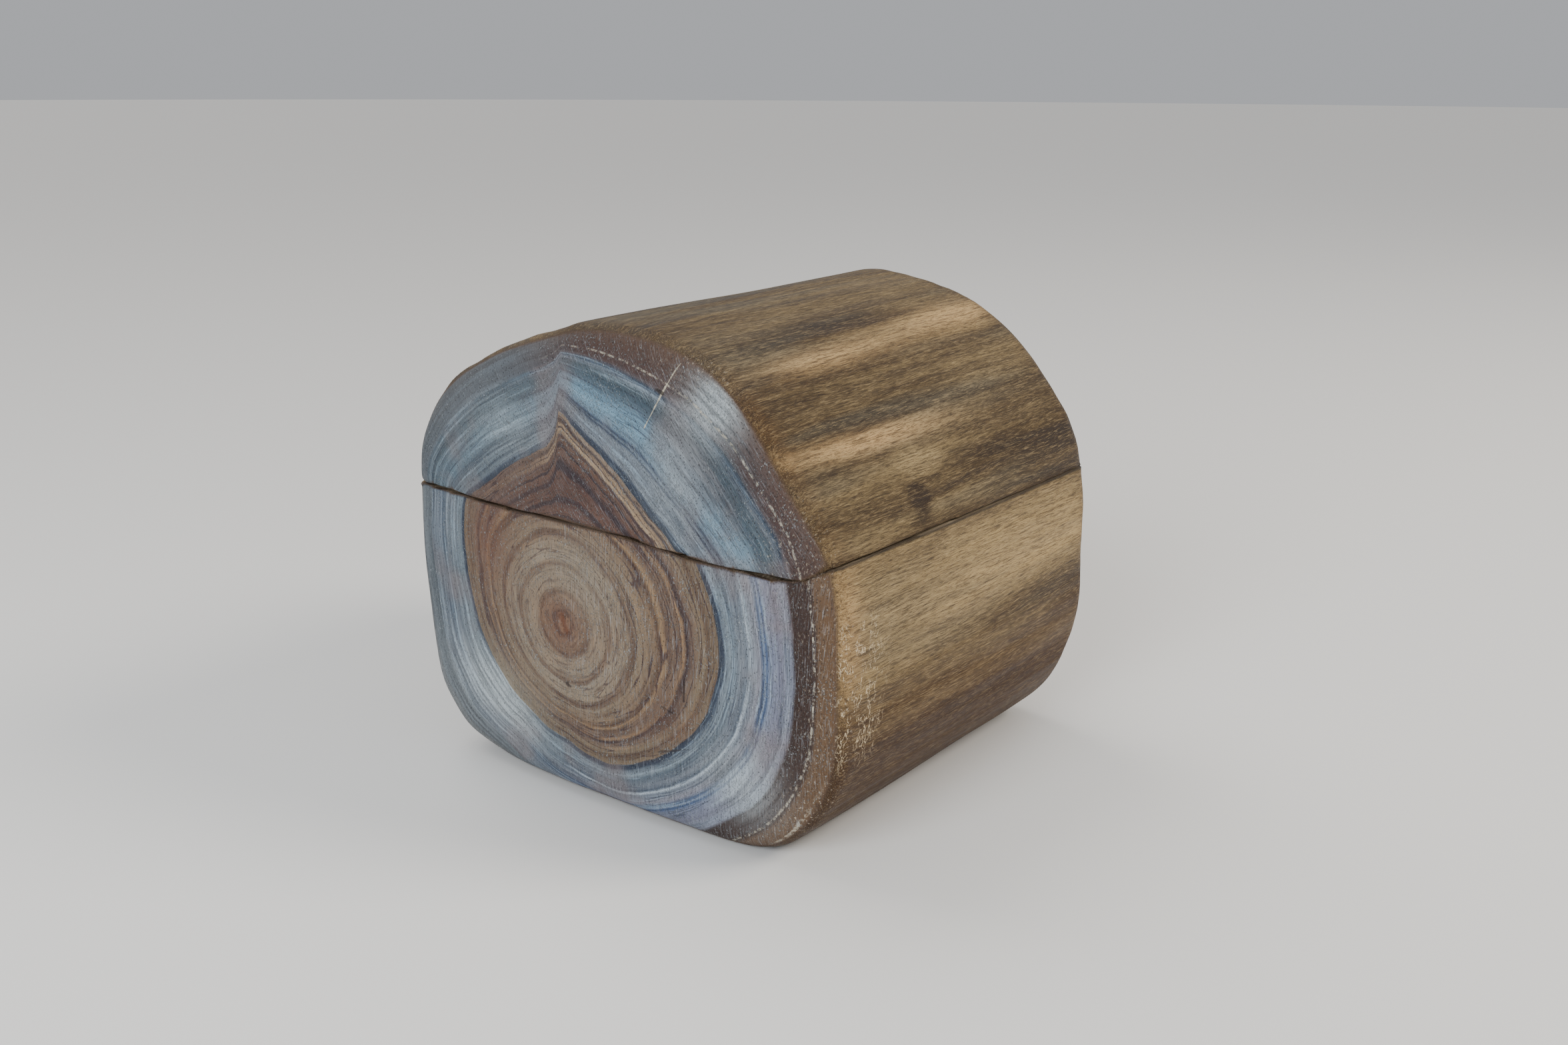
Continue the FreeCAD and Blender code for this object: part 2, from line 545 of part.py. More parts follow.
def make_linings():
    """Felt on the chamber's floor and on the lid's ceiling."""
    floor = rounded_block(
        "floor_felt",
        ("-dims.chamber_length / 2 + dims.felt_gap", "dims.chamber_length / 2 - dims.felt_gap"),
        ("dims.chamber_front + dims.block_thickness + dims.felt_gap", "dims.chamber_back - dims.felt_gap"),
        ("dims.chamber_floor", "dims.chamber_floor + dims.felt_thickness"), "dims.chamber_corner")
    piece(floor, "floor_felt")
    ceiling = rounded_block(
        "lid_felt",
        ("-dims.hollow_length / 2 + dims.felt_gap", "dims.hollow_length / 2 - dims.felt_gap"),
        ("dims.hollow_front + dims.felt_gap", "dims.hollow_back - dims.felt_gap"),
        ("dims.hollow_top - dims.felt_thickness", "dims.hollow_top"), "dims.chamber_corner")
    piece(ceiling, "lid_felt")


def make_halves(log, hinge_room_by_half, block_holes, keeper_room):
    """The base and the lid, sawn from the same log."""
    chamber = rounded_block("chamber", ("-dims.chamber_length / 2", "dims.chamber_length / 2"),
                            ("dims.chamber_front", "dims.chamber_back"), ("dims.chamber_floor", "90"),
                            "dims.chamber_corner")
    above = seam_sheet("above_seam", 1, "dims.seam_height")
    bevel = back_bevel("base_bevel", 1)
    tools = [above, chamber, bevel, *hinge_room_by_half["base"], *block_holes]
    piece(cut("base_log", log, tools, refine=False), "base_log")

    hollow = rounded_block("lid_hollow", ("-dims.hollow_length / 2", "dims.hollow_length / 2"),
                           ("dims.hollow_front", "dims.hollow_back"), ("40", "dims.hollow_top"),
                           "dims.chamber_corner")
    below = seam_sheet("below_seam", -1, "dims.seam_height + dims.kerf")
    bevel = back_bevel("lid_bevel", -1)
    tools = [below, hollow, bevel, *hinge_room_by_half["lid"], *keeper_room]
    piece(cut("lid_log", log, tools, refine=False), "lid_log")


def check_and_write():
    """Stop on any failed object; otherwise write one STEP file for each piece."""
    doc.recompute()
    for obj in doc.Objects:
        if "Invalid" in obj.State or "Error" in obj.State:
            raise RuntimeError(f"{obj.Name} failed: {obj.State}")
    os.makedirs("parts", exist_ok=True)
    for obj in finished:
        shape = obj.Shape
        if shape.isNull() or not shape.isValid() or not shape.Solids:
            raise RuntimeError(f"{obj.Label} has no sound shape")
        shape.exportStep(f"parts/{obj.Label}.step")
        b = shape.BoundBox
        print(f"{obj.Label}: {len(shape.Solids)} solid(s), {shape.Volume:.1f} mm3, "
              f"x {b.XMin:.2f} {b.XMax:.2f}, y {b.YMin:.2f} {b.YMax:.2f}, z {b.ZMin:.2f} {b.ZMax:.2f}")


fill_sheet()
whole_log = make_log()
hinge_wood = make_hinges()
block_screw_holes = make_lock_block()
make_lock_pins()
keeper_wood = make_keeper()
make_linings()
make_halves(whole_log, hinge_wood, block_screw_holes, keeper_wood)
check_and_write()
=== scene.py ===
"""A hinged puzzle box sawn from one short branch log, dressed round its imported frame."""

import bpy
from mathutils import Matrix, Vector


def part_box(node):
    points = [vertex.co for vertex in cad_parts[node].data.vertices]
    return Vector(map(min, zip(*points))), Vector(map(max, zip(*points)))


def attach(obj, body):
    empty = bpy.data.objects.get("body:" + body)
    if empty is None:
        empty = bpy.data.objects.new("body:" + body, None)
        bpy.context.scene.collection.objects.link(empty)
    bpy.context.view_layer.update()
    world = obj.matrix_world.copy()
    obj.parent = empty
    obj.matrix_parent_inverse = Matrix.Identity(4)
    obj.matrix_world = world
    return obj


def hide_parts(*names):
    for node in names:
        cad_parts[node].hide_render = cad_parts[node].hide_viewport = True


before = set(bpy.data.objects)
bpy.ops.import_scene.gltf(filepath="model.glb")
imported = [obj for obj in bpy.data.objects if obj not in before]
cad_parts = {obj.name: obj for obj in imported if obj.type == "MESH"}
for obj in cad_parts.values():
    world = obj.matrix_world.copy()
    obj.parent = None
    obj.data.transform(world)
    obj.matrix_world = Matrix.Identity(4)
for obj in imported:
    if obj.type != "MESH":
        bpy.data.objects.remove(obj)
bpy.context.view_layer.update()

import math

import bpy
import bmesh
import numpy as np
from mathutils import Matrix, Vector
from mathutils.kdtree import KDTree

# Lengths are in millimetres and colours are linear, unless a comment says otherwise.
MM = 0.001
BASE_HIGH = np.array(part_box("base_log")[1]) / MM
LID_LOW = np.array(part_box("lid_log")[0]) / MM
HALF_LENGTH = BASE_HIGH[0]
SEAM = (BASE_HIGH[2] + LID_LOW[2]) / 2  # half way between the saw cut's highest and lowest place

# The camera: a little above the box and to its left.
CAMERA_PLACE = Vector((-263.9, -204.7, 149.8)) * MM
CAMERA_HEADING = math.radians(-53.28)
CAMERA_PITCH = math.radians(-16.51)
CAMERA_ROLL = math.radians(0.29)
CAMERA_LENS = 35.0
CAMERA_SENSOR = 36.0

# The studio, in metres and watts. Each lamp is (name, place, size, power, colour).
FLOOR_RADIUS = 8
FLOOR_SIDES = 64
FLOOR_COLOUR = (0.74, 0.72, 0.69)
AIR_COLOUR = (0.86, 0.88, 0.92)
AIR_STRENGTH = 0.52
LAMPS = [("window", (-0.95, -0.15, 0.55), 0.6, 11.0, (0.86, 0.93, 1.0)),
         ("key", (0.45, -0.85, 0.75), 0.45, 10.0, (1.0, 0.94, 0.85))]
LIT_POINT = Vector((0, 0, 0.05))
OVERHEAD_STRENGTH = 1.25
OVERHEAD_SPREAD = math.radians(40)
OVERHEAD_COLOUR = (1.0, 0.98, 0.94)
OVERHEAD_FROM = Vector((0.1, 0.7, 0.9))

# Remeshing.
WELD = 0.001  # vertices nearer than this become one
LOG_VOXEL = 0.9
FELT_VOXEL = 0.5
LOG_WEAR, FELT_WEAR = 1, 2  # rounds of smoothing
CRISP = 0.28  # how far remeshing drew in the saw cut's edges

# What is weathered skin, and what is a face sawn later. Each pair is a soft step, from no at the first number
# to yes at the second.
SKIN_DEPTH = (5.0, 3.5)  # skin: how far inside the sides
END_DEPTH = (10.5, 9.0)  # skin: how far inside the ends
SAWN_LEVEL = (0.75, 0.9)  # sawn: the size of the normal's z
SAWN_REACH = (0.60, 0.30)  # sawn: how far above or below the cut
FRESH_FROM_SKIN = (1.4, 2.4)  # sawn and fresh-coloured: how far in from the skin; nearer it a sawn face keeps the skin's colour, darkened by the painted seam shadow
CLEAR_OF_CUT = 0.8  # only skin farther than this from the cut counts in that
CUT_WANDER = 2.6  # the cut stays this near to SEAM

# Waves on the surfaces: (wavelength along each axis, seed, height).
FACETS = ((95, 17, 17), 3, 0.22)
DENTS = ((40, 8, 8), 4, 0.07)
END_WAVES = ((30, 14, 14), 5, 0.12)
FELT_WAVES = ((9, 9, 40), 21, 0.10)

# Across the grain, as (y, z), seen along the log. The heartwood's edge in each half is closed round the pith
# on the side that the saw cut took away.
PITH = np.array([7.7, 40.6])
RING_RADIUS = 29.0  # the inner rings are nearly round
ROUND_RINGS = (0.3, 0.95)  # share of the way out where they turn from round to the heartwood's own shape
LEAST_SAP = 3.0  # from the heartwood's edge to the bark
LEAST_SKIN_RADIUS = 20.0  # nothing nearer the pith is skin
BASE_HEART = [(35, 68), (38.5, 59), (38.5, 48), (36, 36.5), (31.5, 26.5), (22, 18.5), (9, 13), (-2, 11),
              (-11, 14), (-21, 20.5), (-29, 29.5), (-32.5, 40), (-31.5, 51), (-27, 61), (-16, 70), (8, 76)]
LID_HEART = [(38.5, 61), (32.5, 65), (28, 68), (23.5, 71), (17, 74.5), (11.5, 77.5), (9.5, 80.5), (8.5, 85.5),
             (4.5, 82.5), (0.5, 80), (-5.5, 76), (-11, 72), (-16, 67.5), (-21.5, 63), (-26.5, 58.5), (-30, 40),
             (-20, 20), (9, 12), (34, 28)]

# The end grain's tints in each half: (share of the way out, colour), from the pith to the heartwood's edge and
# from there to the bark.
BASE_HEART_TINTS = [
    (0.00, (0.215, 0.125, 0.085)), (0.06, (0.250, 0.165, 0.115)), (0.10, (0.105, 0.060, 0.045)),
    (0.135, (0.215, 0.145, 0.105)), (0.20, (0.225, 0.160, 0.118)), (0.24, (0.140, 0.090, 0.065)),
    (0.28, (0.270, 0.215, 0.165)), (0.40, (0.280, 0.230, 0.178)), (0.44, (0.165, 0.115, 0.085)),
    (0.47, (0.285, 0.240, 0.190)), (0.57, (0.270, 0.220, 0.168)), (0.61, (0.135, 0.090, 0.066)),
    (0.64, (0.245, 0.195, 0.145)), (0.71, (0.215, 0.160, 0.115)), (0.735, (0.095, 0.058, 0.042)),
    (0.75, (0.300, 0.215, 0.140)), (0.77, (0.175, 0.125, 0.095)), (0.805, (0.180, 0.130, 0.098)),
    (0.82, (0.280, 0.195, 0.130)), (0.835, (0.050, 0.030, 0.032)), (0.855, (0.170, 0.122, 0.095)),
    (0.91, (0.225, 0.178, 0.128)), (0.935, (0.140, 0.098, 0.070)), (0.97, (0.195, 0.152, 0.110))]
LID_HEART_TINTS = [
    (0.00, (0.170, 0.105, 0.078)), (0.55, (0.205, 0.140, 0.108)), (0.60, (0.110, 0.062, 0.050)),
    (0.64, (0.195, 0.120, 0.090)), (0.71, (0.145, 0.085, 0.068)), (0.745, (0.045, 0.028, 0.040)),
    (0.76, (0.165, 0.100, 0.078)), (0.80, (0.125, 0.074, 0.060)), (0.82, (0.040, 0.028, 0.040)),
    (0.84, (0.140, 0.084, 0.066)), (0.89, (0.175, 0.112, 0.082)), (0.905, (0.095, 0.064, 0.062)),
    (0.915, (0.400, 0.310, 0.220)), (0.950, (0.330, 0.250, 0.180)), (0.962, (0.060, 0.045, 0.050)),
    (0.978, (0.275, 0.215, 0.165))]
BASE_SAP_TINTS = [
    (0.00, (0.028, 0.036, 0.055)), (0.03, (0.045, 0.058, 0.085)), (0.05, (0.165, 0.190, 0.215)),
    (0.09, (0.240, 0.275, 0.300)), (0.12, (0.120, 0.145, 0.170)), (0.19, (0.205, 0.220, 0.245)),
    (0.225, (0.105, 0.125, 0.155)), (0.242, (0.460, 0.500, 0.540)), (0.262, (0.195, 0.215, 0.245)),
    (0.33, (0.275, 0.270, 0.300)), (0.365, (0.050, 0.080, 0.150)), (0.38, (0.270, 0.310, 0.380)),
    (0.395, (0.075, 0.110, 0.190)), (0.42, (0.235, 0.255, 0.320)), (0.52, (0.215, 0.215, 0.260)),
    (0.57, (0.300, 0.320, 0.370)), (0.60, (0.220, 0.225, 0.265)), (0.625, (0.050, 0.027, 0.021)),
    (0.775, (0.062, 0.036, 0.027)), (0.80, (0.150, 0.100, 0.066)), (1.00, (0.165, 0.105, 0.062))]
LID_SAP_TINTS = [
    (0.00, (0.030, 0.040, 0.060)), (0.04, (0.055, 0.070, 0.100)), (0.06, (0.225, 0.245, 0.265)),
    (0.12, (0.170, 0.190, 0.215)), (0.18, (0.225, 0.250, 0.275)), (0.198, (0.045, 0.060, 0.095)),
    (0.212, (0.190, 0.225, 0.260)), (0.228, (0.055, 0.075, 0.115)), (0.250, (0.205, 0.265, 0.315)),
    (0.33, (0.255, 0.360, 0.430)), (0.42, (0.215, 0.305, 0.370)), (0.48, (0.125, 0.165, 0.195)),
    (0.54, (0.068, 0.098, 0.120)), (0.59, (0.098, 0.125, 0.142)), (0.625, (0.150, 0.165, 0.185)),
    (0.655, (0.055, 0.078, 0.110)), (0.68, (0.120, 0.095, 0.095)), (0.70, (0.092, 0.058, 0.052)),
    (0.78, (0.100, 0.063, 0.052)), (1.00, (0.135, 0.088, 0.062))]

# The sides' tints, from the darkest streaks to the palest.
SIDE_TINTS = [
    (0.00, (0.030, 0.016, 0.007)), (0.16, (0.060, 0.036, 0.017)), (0.34, (0.116, 0.079, 0.042)),
    (0.50, (0.200, 0.148, 0.086)), (0.68, (0.315, 0.240, 0.143)), (0.88, (0.480, 0.365, 0.220))]
OLIVE = ((0.085, 0.074, 0.054), (0.215, 0.190, 0.142))
PEACH = ((0.190, 0.104, 0.048), (0.780, 0.550, 0.330))
FOOT_BROWN = (0.048, 0.019, 0.005)
FOOT_SHADE = (0.048, 0.017, 0.003)
NEAR_END_BROWN = (0.082, 0.046, 0.022)
KNOT_PALE, KNOT_DARK = (0.450, 0.350, 0.215), (0.034, 0.017, 0.007)
FIBRE_DARK, FIBRE_PALE = (0.045, 0.026, 0.013), (0.500, 0.390, 0.245)
HAIR_DARK, HAIR_PALE = (0.040, 0.023, 0.012), (0.540, 0.430, 0.280)
NEAR_CUT_BROWN = (0.060, 0.030, 0.012)
SCRATCH = (0.700, 0.600, 0.450)
# Painted shadow: the near-black line along the saw cut, where shade falls into the narrow gap.
SEAM_SHADOW_BLACK = (0.016, 0.010, 0.008)
RIM_BROWN = (0.072, 0.038, 0.021)
RUBBED_PALE = (0.700, 0.600, 0.460)

# The sapwood's tints.
SAP_PLAIN = (0.105, 0.125, 0.140)
LID_SAP_PLAIN, BASE_SAP_PLAIN = (0.170, 0.205, 0.230), (0.215, 0.250, 0.272)
SAP_DARK, SAP_LIGHT = (0.050, 0.066, 0.092), (0.430, 0.510, 0.570)
SAP_LINE = (0.050, 0.062, 0.092)
SAP_STAIN = (0.235, 0.190, 0.180)
SAP_BLUE = (0.050, 0.078, 0.098)
SAP_PALE = ((0.250, 0.270, 0.275), (0.500, 0.535, 0.545))
DASHED_LINE = (0.540, 0.500, 0.420)

# The heartwood's tints.
LID_HEART_GROUND, BASE_HEART_GROUND = (0.150, 0.095, 0.073), (0.232, 0.172, 0.126)
LID_HEART_BACK = (0.150, 0.098, 0.078)
HEART_DARK, HEART_LIGHT = (0.085, 0.050, 0.038), (0.370, 0.270, 0.185)
HEART_LINE = (0.062, 0.034, 0.034)
HEART_RED = ((0.060, 0.028, 0.025), (0.220, 0.115, 0.080))
HEART_PALE = (0.315, 0.290, 0.238)
LID_HEART_LINE = (0.030, 0.018, 0.026)
# Dark lines in the lid's heartwood: (share of the way out, half width).
LID_HEART_LINES = [(0.60, 0.007), (0.69, 0.005), (0.745, 0.009), (0.815, 0.009), (0.865, 0.005)]

# Pores, painted glints and the tools' ridges on both. The glints are painted highlights, and the ridges' pale
# and dark tints are painted sheen and painted shade.
PORE, PAINTED_GLINT = (0.045, 0.038, 0.040), (0.560, 0.590, 0.600)
PAINTED_RIDGE_SHEEN, PAINTED_RIDGE_SHADE = (0.46, 0.49, 0.52), (0.050, 0.045, 0.052)

# Cracks and specks on the ringed end: (start, end, half width, strength, colour), start and end as (y, z).
LID_MARKS = [
    ((-21.4, 97.4), (-14.0, 84.5), 0.30, 0.8, (0.62, 0.57, 0.46)),
    ((-18.2, 91.6), (-16.8, 92.2), 0.55, 0.8, (0.03, 0.02, 0.015)),
    ((24.0, 80.5), (23.0, 80.0), 0.8, 0.5, (0.07, 0.06, 0.06))]
BASE_MARKS = [
    ((7.9, 27.2), (7.0, 26.6), 0.9, 0.8, (0.045, 0.028, 0.024)),
    ((8.3, 42.2), (7.2, 39.0), 1.3, 0.55, (0.150, 0.062, 0.035)),
    ((-18.0, 28.6), (-20.6, 27.8), 0.5, 0.85, (0.030, 0.018, 0.016)),
    ((-24.2, 36.5), (-23.6, 31.0), 0.45, 0.75, (0.035, 0.020, 0.018)),
    ((-15.0, 17.5), (-24.0, 20.5), 0.4, 0.6, (0.040, 0.030, 0.032))]

# Soft patches of the skin: (middle, radii, strength). Streaks run along the grain; positive is paler.
STREAKS = [
    ((0, -15, 102), (30, 5, 6), 0.7), ((-5, -23, 100), (26, 3, 5), -1.0),
    ((-20, -28, 97), (18, 3, 4), -0.3), ((-17, -32, 95), (24, 3, 3.5), 1.0),
    ((34, -30, 97), (22, 3.6, 5), 1.5), ((0, -38, 91), (60, 4, 4.5), -0.45),
    ((21, -43, 86.5), (17, 9, 1.5), 1.0), ((-12, -43, 84.6), (26, 9, 1.1), -1.2),
    ((-24, -45, 81), (24, 9, 1.7), 1.9), ((18, -46, 82), (26, 9, 2.2), 0.9),
    ((24, -52, 75), (26, 9, 3), -0.7), ((-38, -50, 76), (14, 9, 2.4), -0.4),
    ((10, -57, 65.5), (40, 9, 1.8), -0.9), ((-10, 4, 104), (40, 6, 6), -0.8),
    ((20, -58, 51), (80, 12, 8), 1.0), ((24, -59, 39), (30, 12, 2.8), -1.9),
    ((46, -59, 36), (14, 12, 5), -1.2), ((-30, -58, 36), (20, 9, 1.8), -0.6),
    ((8, -58, 34), (30, 9, 1.2), -0.6), ((10, -58, 29.5), (28, 9, 3), 0.5),
    ((0, -57, 21), (70, 12, 5), -0.9), ((0, -52, 8), (80, 12, 6), -1.0), ((10, 30, 95), (40, 4, 5), 0.9),
    ((-20, 44, 86), (40, 6, 3), -0.9), ((25, 52, 75), (36, 9, 3), 0.8), ((-5, 58, 56), (60, 9, 3), -0.7),
    ((-20, 58, 42), (30, 9, 4), 0.7), ((20, 58, 28), (40, 9, 3), -0.9), ((0, 56, 17), (50, 9, 3), 0.4)]
WARM = [
    ((-24, -45, 81), (26, 9, 2.2), 1.0), ((34, -30, 97), (26, 4, 5), 0.9),
    ((-17, -32, 95), (24, 3, 4), 0.8), ((-48, -57, 50), (5, 9, 16), 0.8), ((0, -57, 18), (70, 9, 7), 0.7),
    ((-49, -40, 84), (4, 14, 14), 0.6), ((25, 52, 75), (36, 9, 4), 0.7), ((-20, 58, 42), (30, 9, 5), 0.5)]
KNOT = [
    ((-14, -50, 75.6), (5.5, 9, 3.0), 1.3), ((-7, -51, 75.2), (7, 9, 1.8), 0.7),
    ((-16.5, -53, 70.2), (3.4, 9, 2.8), -1.6), ((-19, -56, 65.8), (5, 9, 1.8), -0.7)]
# Patches of the ringed end.
BLUE = [
    ((-52, -32, 79), (20, 7, 10), 0.8), ((-53, 50, 40), (20, 6, 18), 0.6), ((-52, 50, 70), (20, 9, 7), 0.4)]
PALE = [
    ((-51, -30, 90.5), (20, 6.5, 6.5), 1.3), ((-53, 27, 18), (20, 13, 8), 1.0),
    ((-53, -22, 76), (20, 6, 10), 0.5), ((-53, 23, 79), (20, 12, 6), 0.5),
    ((-53, -36, 16), (20, 8, 8), 0.9), ((-53, 36, 22), (20, 12, 10), 0.6), ((-54, 2, 52), (20, 9, 8), 0.6),
    ((-53, -39, 50), (20, 3, 16), 0.3)]
RED = [
    ((-53, 30, 54), (20, 7, 10), 1.0), ((-53, 6, 66), (20, 20, 7), 0.45), ((-54, 9, 41), (20, 5, 5), 0.6),
    ((-53, -22, 24), (20, 8, 6), 0.5)]
RUBBED = [
    ((-46, -58, 38), (4, 9, 16), 0.9), ((-51, -53, 36), (4, 3, 24), 0.7), ((-50, -46, 66), (5, 9, 9), 0.7),
    ((-49, -50, 13), (6, 7, 7), 1.0), ((-50, -25, 96), (5, 14, 4), 0.6)]
RINGED_END = (-20, -44)  # x: these patches start at the first and are full at the second


# ---------------------------------------------------------------- numbers

def smooth(start, full, value):
    """0 at start and 1 at full, whichever of them is larger, with a soft step between."""
    t = np.clip((value - start) / (full - start), 0, 1)
    return t * t * (3 - 2 * t)


def wave_noise(points, wavelengths, seed, waves=14):
    """Smooth noise, mostly between -1 and 1, with about the given wavelength along each axis."""
    random = np.random.default_rng(seed)
    total = np.zeros(len(points))
    for _ in range(waves):
        direction = random.normal(size=3)
        direction /= np.linalg.norm(direction)
        k = 2 * math.pi * direction * random.uniform(0.7, 1.5) / np.array(wavelengths)
        total += np.sin(points @ k + random.uniform(0, 2 * math.pi))
    return total / math.sqrt(waves)


def waves_of(points, wavelengths, seed, height):
    return wave_noise(points, wavelengths, seed) * height


def spot(points, centre, radii):
    """A soft blob, 1 at its centre, with a radius along each axis."""
    d = (points - np.array(centre)) / np.array(radii)
    return np.exp(-np.sum(d * d, axis=1))


def around_pith(points):
    """Angle and distance from the pith, across the grain."""
    dy, dz = points[:, 1] - PITH[0], points[:, 2] - PITH[1]
    return np.arctan2(dz, dy), np.hypot(dy, dz)


def outline_radius(outline):
    """Distance from the pith to a closed outline, as a function of the angle."""
    offsets = np.array(outline) - PITH
    angles = np.arctan2(offsets[:, 1], offsets[:, 0])
    order = np.argsort(angles)
    radii = np.hypot(offsets[:, 0], offsets[:, 1])[order]
    angles = angles[order]
    return lambda a: np.interp(a, angles, radii, period=2 * math.pi)


def skin_radius(points, bins=180):
    """Distance from the pith to the skin of the log's middle half, as a function of the angle."""
    middle = points[np.abs(points[:, 0]) < HALF_LENGTH / 2]
    angle, distance = around_pith(middle)
    which = ((angle + math.pi) / (2 * math.pi) * bins).astype(int) % bins
    radii = np.zeros(bins)
    np.maximum.at(radii, which, distance)
    centres = (np.arange(bins) + 0.5) / bins * 2 * math.pi - math.pi
    known = radii > LEAST_SKIN_RADIUS
    radii = np.interp(centres, centres[known], radii[known], period=2 * math.pi)
    running_mean = np.ones(5) / 5
    radii = np.convolve(np.concatenate([radii[-2:], radii, radii[:2]]), running_mean, "valid")
    return lambda a: np.interp(a, centres, radii, period=2 * math.pi)


# ---------------------------------------------------------------- meshes

def coordinates(mesh):
    flat = np.empty(len(mesh.vertices) * 3, np.float32)
    mesh.vertices.foreach_get("co", flat)
    return flat.reshape(-1, 3).astype(float) / MM


def normals(mesh):
    flat = np.empty(len(mesh.vertices) * 3, np.float32)
    mesh.vertices.foreach_get("normal", flat)
    return flat.reshape(-1, 3).astype(float)


def set_coordinates(mesh, points):
    mesh.vertices.foreach_set("co", (points * MM).astype(np.float32).ravel())
    mesh.update()


def keep_field(mesh, name, values):
    attribute = mesh.attributes.new(name, "FLOAT", "POINT")
    attribute.data.foreach_set("value", values.astype(np.float32))


def refined_copy(node, name, voxel, rounds):
    """A dense, even, slightly worn copy of a CAD node's mesh."""
    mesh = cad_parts[node].data.copy()
    welded = bmesh.new()
    welded.from_mesh(mesh)
    bmesh.ops.remove_doubles(welded, verts=welded.verts, dist=WELD * MM)
    welded.to_mesh(mesh)
    welded.free()
    mesh.materials.clear()
    rough = bpy.data.objects.new(f"{name}_rough", mesh)
    bpy.context.scene.collection.objects.link(rough)
    remesh = rough.modifiers.new("even", "REMESH")
    remesh.mode = "VOXEL"
    remesh.voxel_size = voxel * MM
    wear = rough.modifiers.new("worn", "SMOOTH")
    wear.factor = 0.5
    wear.iterations = rounds
    graph = bpy.context.evaluated_depsgraph_get()
    fine = bpy.data.meshes.new_from_object(rough.evaluated_get(graph))
    bpy.data.objects.remove(rough)
    fine.name = name
    for attribute in [a for a in fine.attributes if not a.is_required and not a.is_internal]:
        fine.attributes.remove(attribute)
    fine.shade_smooth()
    piece = bpy.data.objects.new(name, fine)
    bpy.context.scene.collection.objects.link(piece)
    return piece


# ---------------------------------------------------------------- node graphs

